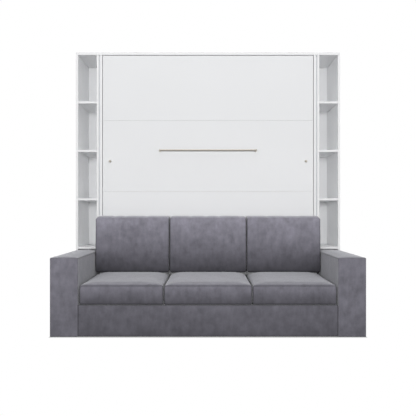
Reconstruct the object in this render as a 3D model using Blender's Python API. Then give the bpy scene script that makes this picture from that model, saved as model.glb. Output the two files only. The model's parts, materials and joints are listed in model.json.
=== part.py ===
"""Wall bed with a three-seat sofa in front of it.

A full-width cabinet stands against the wall: a bed carcass in the middle and an
open shelf tower on each side. The bed stands upright in the carcass behind four
gloss panels and turns down over the sofa, about two pins near its lower end.
A gas strut on each side carries part of its weight, and two telescopic legs,
whose feet are the small knobs on the front, come out to reach the floor.

Metres, +Z up, the front faces -Y. The origin is on the floor, below the centre
of the whole object's box. The y of every piece counts from the front plane of
the cabinet: less is towards the room, more is towards the wall.
"""

import math

import bmesh
import bpy
from mathutils import Matrix, Vector

# Clearances
TOUCH_GAP = 0.0003          # between two faces that meet
RUN_GAP = 0.0006            # round a pin or a tube that turns or slides
OVERRUN = 0.01              # how far a cutter reaches past what it cuts

# Cabinet
TOTAL_WIDTH = 2.20
TOWER_WIDTH = 0.19
SPACER_WIDTH = 0.010        # strip between a tower and the carcass
SPACER_RECESS = 0.012
TOTAL_HEIGHT = 2.20
CABINET_DEPTH = 0.45
BOARD = 0.018
TOP_BOARD = 0.022
EDGE_BREAK = 0.001
PLINTH_HEIGHT = 0.08
PLINTH_RECESS = 0.04

# Tower shelves
SHELF_COUNT = 4
TOP_SHELF_CENTRE = 1.783
SHELF_PITCH = 0.404
SHELF_RECESS = 0.001

# Door panels on the underside of the bed
DOOR_THICKNESS = 0.018
DOOR_SIDE_GAP = 0.0045
DOOR_TOP_GAP = 0.005
DOOR_FLOOR_GAP = 0.12
LOWEST_SEAM = 0.448
PANEL_PITCH = 0.592
PANEL_COUNT = 4
SEAM_WIDTH = 0.0004

# Bed frame
MECHANISM_BAY = 0.032       # between a bed rail and the carcass side
RAIL_THICKNESS = 0.018
RAIL_DEPTH = 0.15
FOOT_RAIL_DROP = 0.018      # foot rail below the top of the door
LEG_BAY = 0.032             # between the mattress and a rail
PLATFORM_BOARD = 0.012
SLAT_HEIGHT = 0.018
SLAT_WIDTH = 0.075
SLAT_COUNT = 14
MATTRESS_THICKNESS = 0.20
MATTRESS_END_GAP = 0.006
MATTRESS_ROUND = 0.03
MATTRESS_CROWN = 0.004

# Bed hinge
PIVOT_SETBACK = 0.028       # pin behind the front of the door
BED_OVER_SEAT = 0.020       # lowered bed above the crown of the seat
PIN_RADIUS = 0.005
PLATE_THICKNESS = 0.003
PLATE_RIM = 0.009           # steel round a hole
BRACKET_BACK = 0.120        # back edge of the cabinet bracket
BRACKET_MARGIN = 0.035

# Gas struts
STRUT_TOP_HEIGHT = 1.05
STUD_FROM_PIN_Y = 0.062     # lower stud behind the hinge pin
STUD_FROM_PIN_Z = 0.15      # lower stud below the hinge pin
STUD_RADIUS = 0.004
STUD_BOSS_RADIUS = 0.010
STRUT_RADIUS = 0.009
STRUT_BORE = 0.006
ROD_RADIUS = 0.004
EYE_RADIUS = 0.010
EYE_WIDTH = 0.008
STRUT_LENGTH = 0.44
STRUT_CLOSED_END = 0.06
ROD_LENGTH = 0.45

# Telescopic legs
LEG_SOFA_CLEARANCE = 0.014  # leg in front of the sofa when the bed is down
SLEEVE_RADIUS = 0.0125
SLEEVE_LENGTH = 0.23
OUTER_LEG_RADIUS = 0.010
INNER_LEG_RADIUS = 0.0075
LEG_END_STEP = 0.0025       # each tube ends short of the one round it
FOOT_RADIUS = 0.0097
FOOT_LENGTH = 0.020
FOOT_DOME = 0.003
FOOT_FLOOR_CLEARANCE = 0.0004

# Handle
HANDLE_LENGTH = 0.81
HANDLE_ABOVE_LEGS = 0.089
HANDLE_BAR_RADIUS = 0.006
HANDLE_POST_RADIUS = 0.0075
HANDLE_STANDOFF = 0.040     # bar centre in front of the door

# Sofa
SOFA_DEPTH = 0.80
ARM_WIDTH = 0.194
ARM_HEIGHT = 0.550
ARM_CROWN = 0.012
ARM_CORNER = 0.006
DECK_HEIGHT = 0.2197
BASE_FLOOR_GAP = 0.003
BASE_PANEL_THICKNESS = 0.035
BASE_PANEL_ROUND = 0.006
BASE_WALL = 0.018

# Seat cushions
MIDDLE_WIDTH = 0.614
SEAT_SIDE_GAP = 0.010
SEAT_CUSHION_GAP = 0.004
SEAT_SEAM_HEIGHT = 0.352
SEAT_CROWN_HEIGHT = 0.392
SEAT_CORNER = 0.012
SEAT_PULL = 0.003
SEAT_BULGE = 0.004
SEAT_END_GAP = 0.003
SEAT_FOOT_ROUND = 0.006

# Back cushions
BACK_SIDE_GAP = 0.006
BACK_CUSHION_GAP = 0.003
BACK_TOP_HEIGHT = 0.842
BACK_SEAM_FROM_DOOR = 0.205
BACK_CROWN = 0.018
BACK_CORNER = 0.026
BACK_PULL = 0.004
BACK_BULGE = 0.006
BACK_DOOR_GAP = 0.0006
BACK_FOOT_ROUND = 0.014
PUCKER_HEIGHT = 0.0025
PUCKER_COUNT = 4
PUT_DOWN_REACH = 0.83       # swing centre of a cushion in front of the hinge pin
PUT_DOWN_CLEARANCE = 0.002  # cushion above the floor where it is put down

# Shares of a shape that follow the size they belong to
CROWN_POWER_SHARE = 4.0
CROWN_EDGE_SHARE = 0.55

# Faces of round shapes
ROUND_SIDES = 24
FINE_SIDES = 16
STRIP_END_SIDES = 6
SHARP_ANGLE = math.radians(40)
CONTACT_STEPS = 40          # places where a cushion is tried on the one under it

# Places worked out from the sizes above
total_half = TOTAL_WIDTH / 2
tower_inner = total_half - TOWER_WIDTH
carcass_half = tower_inner - SPACER_WIDTH
carcass_inner = carcass_half - BOARD
under_top = TOTAL_HEIGHT - TOP_BOARD
front = (SOFA_DEPTH - CABINET_DEPTH) / 2
back = front + CABINET_DEPTH
back_board = back - BOARD
sofa_front = front - SOFA_DEPTH

door_half = carcass_inner - DOOR_SIDE_GAP
door_back = front + DOOR_THICKNESS
door_top = under_top - DOOR_TOP_GAP
rail_outer = carcass_inner - MECHANISM_BAY
rail_inner = rail_outer - RAIL_THICKNESS
rail_front = door_back + TOUCH_GAP
rail_back = rail_front + RAIL_DEPTH
rail_top = door_top - FOOT_RAIL_DROP
mattress_half = rail_inner - LEG_BAY
platform_back = rail_front + PLATFORM_BOARD + SLAT_HEIGHT
mattress_front = platform_back + TOUCH_GAP

pin_y = front + PIVOT_SETBACK
bed_underside = SEAT_CROWN_HEIGHT + BED_OVER_SEAT
pin_z = bed_underside + PIVOT_SETBACK
plate_outer = rail_outer + TOUCH_GAP + PLATE_THICKNESS
bracket_inner = carcass_inner - TOUCH_GAP - PLATE_THICKNESS
strut_x = (plate_outer + bracket_inner) / 2
stud_y = pin_y + STUD_FROM_PIN_Y
stud_z = pin_z - STUD_FROM_PIN_Z

leg_x = rail_inner - LEG_BAY / 2
leg_z = pin_z + PIVOT_SETBACK + SOFA_DEPTH + LEG_SOFA_CLEARANCE + OUTER_LEG_RADIUS
leg_bore = OUTER_LEG_RADIUS + RUN_GAP
leg_travel = (bed_underside - FOOT_LENGTH - FOOT_FLOOR_CLEARANCE) / 2
handle_z = leg_z + HANDLE_ABOVE_LEGS

arm_inner = total_half - ARM_WIDTH
seat_bottom = DECK_HEIGHT + TOUCH_GAP
seat_length = SOFA_DEPTH - SEAT_END_GAP - SEAT_END_GAP / 2
seat_middle_y = sofa_front + SEAT_END_GAP / 2 + seat_length / 2
cushion_front = front - BACK_SEAM_FROM_DOOR
swing_y = pin_y - PUT_DOWN_REACH
swing_z = swing_y - (cushion_front - BACK_CROWN) + PUT_DOWN_CLEARANCE

# Finishes: colour, roughness, metallic
WHITE_GLOSS = ((0.78, 0.79, 0.80), 0.18, 0.0)
WHITE_BOARD = ((0.80, 0.81, 0.81), 0.40, 0.0)
SPACER_GREY = ((0.62, 0.64, 0.65), 0.50, 0.0)
BIRCH = ((0.62, 0.47, 0.30), 0.60, 0.0)
NICKEL = ((0.45, 0.42, 0.37), 0.30, 1.0)
STEEL = ((0.55, 0.56, 0.57), 0.35, 1.0)
BLACK_STEEL = ((0.04, 0.04, 0.045), 0.40, 0.9)
CHROME = ((0.80, 0.80, 0.82), 0.12, 1.0)
GREY_VELOUR = ((0.17, 0.165, 0.20), 0.90, 0.0)
TICKING = ((0.80, 0.79, 0.76), 0.85, 0.0)


def clear_scene():
    """Remove whatever objects the file holds."""
    for old in list(bpy.data.objects):
        bpy.data.objects.remove(old, do_unlink=True)


def finish_of(name, finish):
    """A Principled material of the piece's own, from (colour, roughness, metallic)."""
    colour, roughness, metallic = finish
    material = bpy.data.materials.new(name + "_finish")
    material.use_nodes = True
    shader = material.node_tree.nodes["Principled BSDF"]
    shader.inputs["Base Color"].default_value = (*colour, 1.0)
    shader.inputs["Roughness"].default_value = roughness
    shader.inputs["Metallic"].default_value = metallic
    material.diffuse_color = (*colour, 1.0)
    return material


def world_place(thing):
    """Where an unturned object or empty stands in the world, through its parents."""
    place = thing.location.copy()
    while thing.parent:
        thing = thing.parent
        place += thing.location
    return place


def axis_empty(name, place, parent=None):
    """An empty on a joint's axis, which carries the pieces that move about it."""
    empty = bpy.data.objects.new(name, None)
    bpy.context.collection.objects.link(empty)
    empty.parent = parent
    empty.location = Vector(place) - (world_place(parent) if parent else Vector())
    return empty


def piece(name, mesh, place, finish=None, parent=None):
    """Link a mesh as a named object whose origin is at a world place."""
    thing = bpy.data.objects.new(name, mesh)
    bpy.context.collection.objects.link(thing)
    thing.parent = parent
    thing.location = Vector(place) - (world_place(parent) if parent else Vector())
    if finish:
        mesh.materials.append(finish_of(name, finish))
    return thing


def mesh_from(name, form):
    """Turn a bmesh into a mesh with its faces pointing outwards."""
    bmesh.ops.recalc_face_normals(form, faces=form.faces)
    mesh = bpy.data.meshes.new(name)
    form.to_mesh(mesh)
    form.free()
    return mesh


def soften_edges(thing, width):
    """Break the edges of a piece with a one-step bevel."""
    bevel = thing.modifiers.new("edge_break", "BEVEL")
    bevel.width = width
    bevel.segments = 1
    bevel.limit_method = "ANGLE"


def block_mesh(name, size):
    """A box centred on its own origin."""
    form = bmesh.new()
    bmesh.ops.create_cube(form, size=1.0)
    bmesh.ops.scale(form, vec=Vector(size), verts=form.verts)
    return mesh_from(name, form)


def board(name, finish, x, y, z, parent=None, edge=EDGE_BREAK):
    """A board between two bounds on each axis, its edges lightly broken."""
    low = Vector((min(x), min(y), min(z)))
    high = Vector((max(x), max(y), max(z)))
    thing = piece(name, block_mesh(name, high - low), (low + high) / 2, finish, parent)
    if edge:
        soften_edges(thing, edge)
    return thing


def prism_mesh(name, outline, thickness):
    """An outline of (y, z) points given a thickness along X, centred on X."""
    form = bmesh.new()
    corners = [form.verts.new((-thickness / 2, y, z)) for y, z in outline]
    face = form.faces.new(corners)
    grown = bmesh.ops.extrude_face_region(form, geom=[face])
    moved = [v for v in grown["geom"] if isinstance(v, bmesh.types.BMVert)]
    bmesh.ops.translate(form, vec=(thickness, 0, 0), verts=moved)
    return mesh_from(name, form)


def turned_mesh(name, profile, axis, sides=ROUND_SIDES):
    """Turn a profile of (radius, place along the axis) points about an axis.

    A profile that starts and ends on the axis is a solid of revolution, and
    one that stays off it is closed into a tube.
    """
    form = bmesh.new()
    rings = []
    for radius, along in profile:
        if radius == 0:
            rings.append([form.verts.new((0, 0, along))])
            continue
        ring = []
        for step in range(sides):
            angle = 2 * math.pi * (step + 0.5) / sides
            ring.append(form.verts.new((radius * math.cos(angle), radius * math.sin(angle), along)))
        rings.append(ring)
    pairs = list(zip(rings, rings[1:]))
    if profile[0][0] != 0:
        pairs.append((rings[-1], rings[0]))
    for first, second in pairs:
        for step in range(sides):
            after = (step + 1) % sides
            corners = [first[step % len(first)], first[after % len(first)],
                       second[after % len(second)], second[step % len(second)]]
            form.faces.new(list(dict.fromkeys(corners)))
    turns = {"X": Matrix.Rotation(math.pi / 2, 3, "Y"),
             "Y": Matrix.Rotation(-math.pi / 2, 3, "X"),
             "Z": Matrix.Identity(3)}
    bmesh.ops.rotate(form, cent=(0, 0, 0), matrix=turns[axis], verts=form.verts)
    mesh = mesh_from(name, form)
    mesh.shade_smooth()
    mesh.set_sharp_from_angle(angle=SHARP_ANGLE)
    return mesh


def rod_profile(radius, low, high):
    """The profile of a plain round bar."""
    return [(0, low), (radius, low), (radius, high), (0, high)]


def tube_profile(radius, bore, low, high):
    """The profile of a tube that is open at both ends."""
    return [(bore, low), (radius, low), (radius, high), (bore, high)]


def combine(thing, operation, *tools):
    """Add Boolean modifiers to a piece, and hide the tools they use."""
    for tool in tools:
        step = thing.modifiers.new(tool.name, "BOOLEAN")
        step.operation = operation
        step.solver = "EXACT"
        step.object = tool
        tool.hide_render = True
        tool.display_type = "WIRE"


def tool_at(name, mesh, place, owner):
    """A helper solid for a Boolean, carried by the same parent as its owner."""
    return piece(name, mesh, place, None, owner.parent)


def dome(share):
    """How much of its crown a cushion has at a share of its half width."""
    return max(0, 1 - abs(share) ** CROWN_POWER_SHARE) ** CROWN_EDGE_SHARE


def side_draw_in(height_share, pull, bulge):
    """How far a cushion's side is drawn in at a share of its seam height."""
    return pull + bulge * (1 - 4 * height_share * (1 - height_share))


def cushion_mesh(name, size, cells, corner, crown, pull, bulge, foot_round, pucker=0.0):
    """A boxed cushion lying on its flat side, its origin in the middle of that side.

    size is (width, length, seam height). The top is crowned above its seam, the
    sides draw in between the corners, less so half way up, and the edge round
    the flat side is rounded. Puckers ripple the far long side.
    """
    half_x, half_y, seam = size[0] / 2, size[1] / 2, size[2]
    count_x, count_y, count_z = cells
    form = bmesh.new()
    placed = {}

    def square_to_round(x, y):
        """Round the four upright corners of a plan point."""
        inner_x, inner_y = half_x - corner, half_y - corner
        if abs(x) <= inner_x or abs(y) <= inner_y:
            return x, y
        share_x = (abs(x) - inner_x) / corner
        share_y = (abs(y) - inner_y) / corner
        round_x = share_x * math.sqrt(1 - share_y * share_y / 2)
        round_y = share_y * math.sqrt(1 - share_x * share_x / 2)
        return (math.copysign(inner_x + round_x * corner, x),
                math.copysign(inner_y + round_y * corner, y))

    def spread(step, count, half):
        """A place across the cushion, with a cell line just inside each corner."""
        if step in (0, count):
            return math.copysign(half, step - count / 2)
        inner = half - corner
        return -inner + 2 * inner * (step - 1) / (count - 2)

    def vertex(ix, iy, iz):
        """The vertex of a cell corner on the outside of the box."""
        key = (ix, iy, iz)
        if key in placed:
            return placed[key]
        x, y = spread(ix, count_x, half_x), spread(iy, count_y, half_y)
        share_x, share_y = x / half_x, y / half_y
        x, y = square_to_round(x, y)
        draw_in = side_draw_in(iz / count_z, pull, bulge)
        inset = foot_round if iz == 0 else 0
        x -= share_x * (draw_in * (1 - share_y ** 2) + inset)
        y -= share_y * (draw_in * (1 - share_x ** 2) + inset)
        z = foot_round + (seam - foot_round) * (iz - 1) / (count_z - 1) if iz else 0
        if iz == count_z:
            z += crown * dome(share_x) * dome(share_y)
        if pucker and iy == count_y:
            wave = math.cos(2 * math.pi * PUCKER_COUNT * (share_x + 1) / 2)
            y += pucker * wave * (1 - share_x ** 2)
        placed[key] = form.verts.new((x, y, z))
        return placed[key]

    def skin(corners):
        """Add one face through four cell corners."""
        form.faces.new([vertex(*corner_key) for corner_key in corners])

    for ix in range(count_x):
        for iy in range(count_y):
            for iz in (0, count_z):
                skin([(ix, iy, iz), (ix + 1, iy, iz), (ix + 1, iy + 1, iz), (ix, iy + 1, iz)])
    for iz in range(count_z):
        for ix in range(count_x):
            for iy in (0, count_y):
                skin([(ix, iy, iz), (ix + 1, iy, iz), (ix + 1, iy, iz + 1), (ix, iy, iz + 1)])
        for iy in range(count_y):
            for ix in (0, count_x):
                skin([(ix, iy, iz), (ix, iy + 1, iz), (ix, iy + 1, iz + 1), (ix, iy, iz + 1)])
    mesh = mesh_from(name, form)
    mesh.shade_smooth()
    return mesh


def cabinet_carcass():
    """Top board, bed side panels, back, floor board and plinth of the bed bay."""
    board("top_board", WHITE_BOARD, (-total_half, total_half), (front, back), (under_top, TOTAL_HEIGHT))
    side_top = under_top - TOUCH_GAP
    clear = carcass_inner - TOUCH_GAP
    for side, word in ((-1, "left"), (1, "right")):
        board("bed_side_" + word, WHITE_BOARD, (side * carcass_inner, side * carcass_half),
              (front, back), (0, side_top))
        board("spacer_" + word, SPACER_GREY,
              (side * (carcass_half + TOUCH_GAP), side * (tower_inner - TOUCH_GAP)),
              (front + SPACER_RECESS, back), (0, side_top))
    board("bed_back_panel", WHITE_BOARD, (-clear, clear), (back_board, back), (0, side_top))
    board("bed_bottom_board", WHITE_BOARD, (-clear, clear), (front, back_board - TOUCH_GAP),
          (PLINTH_HEIGHT, PLINTH_HEIGHT + BOARD))
    plinth_front = front + PLINTH_RECESS
    board("bed_plinth", WHITE_BOARD, (-clear, clear), (plinth_front, plinth_front + BOARD),
          (0, PLINTH_HEIGHT - TOUCH_GAP))


def shelf_tower(side, word):
    """One open tower: two sides, a back, shelves and a bottom board."""
    start = side * tower_inner
    inner_face = start + side * BOARD
    end = side * total_half
    outer_face = end - side * BOARD
    top = under_top - TOUCH_GAP
    clear = (inner_face + side * TOUCH_GAP, outer_face - side * TOUCH_GAP)
    board("tower_inner_side_" + word, WHITE_BOARD, (start, inner_face), (front, back), (0, top))
    board("tower_outer_side_" + word, WHITE_BOARD, (outer_face, end), (front, back), (0, top))
    board("tower_back_" + word, WHITE_BOARD, clear, (back_board, back), (0, top))
    shelf_y = (front + SHELF_RECESS, back_board - TOUCH_GAP)
    for number in range(SHELF_COUNT):
        centre = TOP_SHELF_CENTRE - number * SHELF_PITCH
        board("tower_shelf_%s_%d" % (word, number + 1), WHITE_BOARD, clear, shelf_y,
              (centre - BOARD / 2, centre + BOARD / 2))
    board("tower_bottom_" + word, WHITE_BOARD, clear, shelf_y,
          (PLINTH_HEIGHT, PLINTH_HEIGHT + BOARD))


def door_panels(bed):
    """The gloss panels that close the cabinet and are the underside of the bed."""
    seams = [LOWEST_SEAM + number * PANEL_PITCH for number in range(PANEL_COUNT - 1)]
    lows = [DOOR_FLOOR_GAP] + [seam + SEAM_WIDTH / 2 for seam in seams]
    highs = [seam - SEAM_WIDTH / 2 for seam in seams] + [door_top]
    panels = []
    for number, (low, high) in enumerate(zip(lows, highs)):
        panel = board("door_panel_%d" % (number + 1), WHITE_GLOSS, (-door_half, door_half),
                      (front, door_back), (low, high), bed)
        panels.append((panel, low, high))
    return panels


def bed_frame(bed):
    """Rails, slatted platform and mattress behind the door panels."""
    depth = (rail_front, rail_back)
    for side, word in ((-1, "left"), (1, "right")):
        board("bed_rail_" + word, WHITE_BOARD, (side * rail_inner, side * rail_outer), depth,
              (DOOR_FLOOR_GAP, rail_top), bed)
    across = (-rail_inner + TOUCH_GAP, rail_inner - TOUCH_GAP)
    head_top = DOOR_FLOOR_GAP + RAIL_THICKNESS
    foot_bottom = rail_top - RAIL_THICKNESS
    board("bed_head_rail", WHITE_BOARD, across, depth, (DOOR_FLOOR_GAP, head_top), bed)
    board("bed_foot_rail", WHITE_BOARD, across, depth, (foot_bottom, rail_top), bed)
    slat_platform(bed, head_top + TOUCH_GAP, foot_bottom - TOUCH_GAP)

    low, high = head_top + MATTRESS_END_GAP, foot_bottom - MATTRESS_END_GAP
    length = high - low
    mesh = cushion_mesh("mattress", (2 * mattress_half, length, MATTRESS_THICKNESS - MATTRESS_CROWN),
                        (10, 10, 3), MATTRESS_ROUND, MATTRESS_CROWN, 0, 0, EDGE_BREAK)
    mesh.transform(Matrix.Rotation(-math.pi / 2, 4, "X"))
    piece("mattress", mesh, (0, mattress_front, (low + high) / 2), TICKING, bed)


def slat_platform(bed, low, high):
    """A thin board with raised slats, which the mattress lies on."""
    pitch = (high - low) / SLAT_COUNT
    margin = (pitch - SLAT_WIDTH) / 2
    board_back = rail_front + PLATFORM_BOARD
    outline = [(rail_front, low)]
    for number in range(SLAT_COUNT):
        start = low + number * pitch + margin
        outline += [(board_back, start), (platform_back, start),
                    (platform_back, start + SLAT_WIDTH), (board_back, start + SLAT_WIDTH)]
    outline.insert(1, (board_back, low))
    outline += [(board_back, high), (rail_front, high)]
    centred = [(y - pin_y, z - pin_z) for y, z in outline]
    piece("bed_slat_platform", prism_mesh("bed_slat_platform", centred, 2 * mattress_half),
          (0, pin_y, pin_z), BIRCH, bed)


def rounded_strip(points, radius, steps=STRIP_END_SIDES):
    """The outline round two (y, z) points at one radius: a strip with round ends."""
    (y_0, z_0), (y_1, z_1) = points
    heading = math.atan2(z_1 - z_0, y_1 - y_0)
    outline = []
    for (y, z), turn in ((points[1], -math.pi / 2), (points[0], math.pi / 2)):
        for step in range(steps + 1):
            angle = heading + turn + math.pi * step / steps
            outline.append((y + radius * math.cos(angle), z + radius * math.sin(angle)))
    return outline


def hinge_and_strut(side, word, bed):
    """Hinge bracket and pin, bed plate, and the gas strut between their studs."""
    bracket_x = side * (carcass_inner - TOUCH_GAP - PLATE_THICKNESS / 2)
    low, high = pin_z - BRACKET_MARGIN, STRUT_TOP_HEIGHT + BRACKET_MARGIN
    near = door_back + TOUCH_GAP
    bracket = board("hinge_bracket_" + word, STEEL,
                    (bracket_x - PLATE_THICKNESS / 2, bracket_x + PLATE_THICKNESS / 2),
                    (near, front + BRACKET_BACK), (low, high), None, 0)
    centre = side * (bracket_inner + PLATE_THICKNESS / 2)
    pin_end = side * (rail_outer + TOUCH_GAP + RUN_GAP)
    pin_mesh = turned_mesh("hinge_pin_" + word,
                           rod_profile(PIN_RADIUS, *sorted((pin_end - centre, 0))), "X")
    pin = tool_at("hinge_pin_" + word, pin_mesh, (centre, pin_y, pin_z), bracket)
    stud_end = side * (strut_x - EYE_WIDTH / 2)
    stud_mesh = turned_mesh("strut_stud_" + word,
                            rod_profile(STUD_RADIUS, *sorted((stud_end - centre, 0))), "X")
    stud = tool_at("strut_stud_" + word, stud_mesh, (centre, stud_y, STRUT_TOP_HEIGHT), bracket)
    combine(bracket, "UNION", pin, stud)

    plate_x = side * (rail_outer + TOUCH_GAP + PLATE_THICKNESS / 2)
    strip = rounded_strip(((0, 0), (stud_y - pin_y, stud_z - pin_z)), PLATE_RIM)
    plate = piece("bed_plate_" + word, prism_mesh("bed_plate_" + word, strip, PLATE_THICKNESS),
                  (plate_x, pin_y, pin_z), STEEL, bed)
    boss_face = side * (strut_x - EYE_WIDTH / 2) - side * RUN_GAP
    boss_mesh = turned_mesh("plate_boss_" + word,
                            rod_profile(STUD_BOSS_RADIUS, *sorted((boss_face - plate_x, 0))), "X")
    boss = tool_at("plate_boss_" + word, boss_mesh, (plate_x, stud_y, stud_z), plate)
    hole_mesh = turned_mesh("pin_hole_" + word,
                            rod_profile(PIN_RADIUS + RUN_GAP, -OVERRUN, OVERRUN), "X")
    hole = tool_at("pin_hole_" + word, hole_mesh, (plate_x, pin_y, pin_z), plate)
    combine(plate, "UNION", boss)
    combine(plate, "DIFFERENCE", hole)
    gas_strut(side, word)


def gas_strut(side, word):
    """Cylinder hung on the bracket's stud, and the rod that slides out of it."""
    top = (side * strut_x, stud_y, STRUT_TOP_HEIGHT)
    swing = axis_empty("strut_swing_axis_" + word, top)
    neck = EYE_RADIUS - EDGE_BREAK
    profile = [(0, -STRUT_CLOSED_END), (STRUT_BORE, -STRUT_CLOSED_END), (STRUT_BORE, -STRUT_LENGTH),
               (STRUT_RADIUS, -STRUT_LENGTH), (STRUT_RADIUS, -neck), (0, -neck)]
    cylinder = piece("strut_cylinder_" + word, turned_mesh("strut_cylinder_" + word, profile, "Z"),
                     top, BLACK_STEEL, swing)
    eye_mesh = turned_mesh("cylinder_eye_" + word,
                           rod_profile(EYE_RADIUS, -EYE_WIDTH / 2, EYE_WIDTH / 2), "X")
    eye = tool_at("cylinder_eye_" + word, eye_mesh, top, cylinder)
    hole_mesh = turned_mesh("cylinder_eye_hole_" + word,
                            rod_profile(STUD_RADIUS + RUN_GAP, -OVERRUN, OVERRUN), "X")
    hole = tool_at("cylinder_eye_hole_" + word, hole_mesh, top, cylinder)
    combine(cylinder, "UNION", eye)
    combine(cylinder, "DIFFERENCE", hole)

    foot = (side * strut_x, stud_y, stud_z)
    slide = axis_empty("strut_slide_axis_" + word, foot, swing)
    rod = piece("strut_rod_" + word,
                turned_mesh("strut_rod_" + word, rod_profile(ROD_RADIUS, neck, ROD_LENGTH), "Z", FINE_SIDES),
                foot, CHROME, slide)
    rod_eye_mesh = turned_mesh("rod_eye_" + word,
                               rod_profile(EYE_RADIUS, -EYE_WIDTH / 2, EYE_WIDTH / 2), "X")
    rod_eye = tool_at("rod_eye_" + word, rod_eye_mesh, foot, rod)
    combine(rod, "UNION", rod_eye)


def telescopic_leg(side, word, bed):
    """Fixed sleeve, and two tubes that draw out through the door one after another."""
    centre = (side * leg_x, front, leg_z)
    sleeve_start = DOOR_THICKNESS + TOUCH_GAP
    sleeve_end = sleeve_start + SLEEVE_LENGTH
    outer_end = sleeve_end - LEG_END_STEP
    inner_end = outer_end - LEG_END_STEP
    sleeve = turned_mesh("leg_sleeve_" + word,
                         tube_profile(SLEEVE_RADIUS, leg_bore, sleeve_start, sleeve_end), "Y")
    piece("leg_sleeve_" + word, sleeve, centre, STEEL, bed)

    outer_slide = axis_empty("leg_outer_axis_" + word, centre, bed)
    outer = turned_mesh("leg_outer_tube_" + word,
                        tube_profile(OUTER_LEG_RADIUS, INNER_LEG_RADIUS + RUN_GAP, 0, outer_end), "Y")
    piece("leg_outer_tube_" + word, outer, centre, STEEL, outer_slide)

    inner_slide = axis_empty("leg_inner_axis_" + word, centre, outer_slide)
    neck = -TOUCH_GAP
    profile = [(0, -FOOT_LENGTH), (FOOT_RADIUS - FOOT_DOME, -FOOT_LENGTH),
               (FOOT_RADIUS, -FOOT_LENGTH + FOOT_DOME), (FOOT_RADIUS, neck),
               (INNER_LEG_RADIUS, neck), (INNER_LEG_RADIUS, inner_end), (0, inner_end)]
    piece("leg_foot_tube_" + word, turned_mesh("leg_foot_tube_" + word, profile, "Y"),
          centre, NICKEL, inner_slide)


def drill_leg_holes(panels):
    """Cut the leg holes through the panel that the legs pass through."""
    panel = next(item for item, low, high in panels if low < leg_z < high)
    for side, word in ((-1, "left"), (1, "right")):
        cutter_mesh = turned_mesh("leg_hole_" + word,
                                  rod_profile(leg_bore, -OVERRUN, DOOR_THICKNESS + OVERRUN), "Y")
        cutter = tool_at("leg_hole_" + word, cutter_mesh, (side * leg_x, front, leg_z), panel)
        combine(panel, "DIFFERENCE", cutter)


def door_handle(bed):
    """A long bar between two round posts on the door."""
    bar_y = front - HANDLE_STANDOFF
    post_x = HANDLE_LENGTH / 2 - HANDLE_POST_RADIUS
    bar = piece("handle", turned_mesh("handle", rod_profile(HANDLE_BAR_RADIUS, -post_x, post_x), "X"),
                (0, bar_y, handle_z), NICKEL, bed)
    reach = HANDLE_STANDOFF - TOUCH_GAP
    for side, word in ((-1, "left"), (1, "right")):
        profile = rod_profile(HANDLE_POST_RADIUS, -HANDLE_POST_RADIUS, reach)
        post_mesh = turned_mesh("handle_post_" + word, profile, "Y")
        post = tool_at("handle_post_" + word, post_mesh, (side * post_x, bar_y, handle_z), bar)
        combine(bar, "UNION", post)


def sofa_body():
    """Arms, front panel and the frame under the seat."""
    depth = SOFA_DEPTH - TOUCH_GAP
    middle_y = sofa_front + depth / 2
    for side, word in ((-1, "left"), (1, "right")):
        mesh = cushion_mesh("sofa_arm_" + word, (ARM_WIDTH, depth, ARM_HEIGHT), (6, 8, 3),
                            ARM_CORNER, ARM_CROWN, 0, 0, ARM_CORNER / 2)
        piece("sofa_arm_" + word, mesh, (side * (total_half - ARM_WIDTH / 2), middle_y, 0), GREY_VELOUR)
    clear = arm_inner - TOUCH_GAP
    panel_back = sofa_front + BASE_PANEL_THICKNESS
    board("sofa_front_panel", GREY_VELOUR, (-clear, clear), (sofa_front, panel_back),
          (BASE_FLOOR_GAP, DECK_HEIGHT), None, BASE_PANEL_ROUND)
    frame_y = (panel_back + TOUCH_GAP, front - TOUCH_GAP)
    frame = board("sofa_seat_frame", BIRCH, (-clear, clear), frame_y, (0, DECK_HEIGHT), None, 0)
    hollow_size = (2 * (clear - BASE_WALL), frame_y[1] - frame_y[0] - 2 * BASE_WALL,
                   DECK_HEIGHT - BASE_WALL + OVERRUN)
    hollow = tool_at("seat_frame_hollow", block_mesh("seat_frame_hollow", hollow_size),
                     (0, sum(frame_y) / 2, hollow_size[2] / 2 - OVERRUN), frame)
    combine(frame, "DIFFERENCE", hollow)


def cushion_spans(half, side_gap, between):
    """The (word, low x, high x) of three cushions between two arms."""
    inner = MIDDLE_WIDTH / 2
    outer = half - side_gap
    return (("left", -outer, -inner - between), ("middle", -inner, inner),
            ("right", inner + between, outer))


def seat_cushions():
    """Three boxed seat cushions on the seat frame."""
    size_z = SEAT_SEAM_HEIGHT - seat_bottom
    crown = SEAT_CROWN_HEIGHT - SEAT_SEAM_HEIGHT
    for word, low, high in cushion_spans(arm_inner, SEAT_SIDE_GAP, SEAT_CUSHION_GAP):
        mesh = cushion_mesh("seat_cushion_" + word, (high - low, seat_length, size_z), (14, 14, 4),
                            SEAT_CORNER, crown, SEAT_PULL, SEAT_BULGE, SEAT_FOOT_ROUND)
        piece("seat_cushion_" + word, mesh, ((low + high) / 2, seat_middle_y, seat_bottom), GREY_VELOUR)


def resting_height():
    """Height of a back cushion's corners when it rests on the slope of the seat's crown.

    Its underside arches up between the corners, so each place under it is tried.
    """
    thickness = front - BACK_DOOR_GAP - cushion_front
    crown = SEAT_CROWN_HEIGHT - SEAT_SEAM_HEIGHT
    shares = [number / CONTACT_STEPS for number in range(CONTACT_STEPS)]
    highest = SEAT_SEAM_HEIGHT
    for height_share in shares:
        y = front - BACK_DOOR_GAP - height_share * thickness
        slope = dome((y - seat_middle_y) / (seat_length / 2))
        arch = side_draw_in(height_share, BACK_PULL, BACK_BULGE)
        for share_x in shares:
            seat_top = SEAT_SEAM_HEIGHT + crown * slope * dome(share_x)
            highest = max(highest, seat_top - arch * (1 - share_x ** 2))
    return highest + TOUCH_GAP


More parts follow.
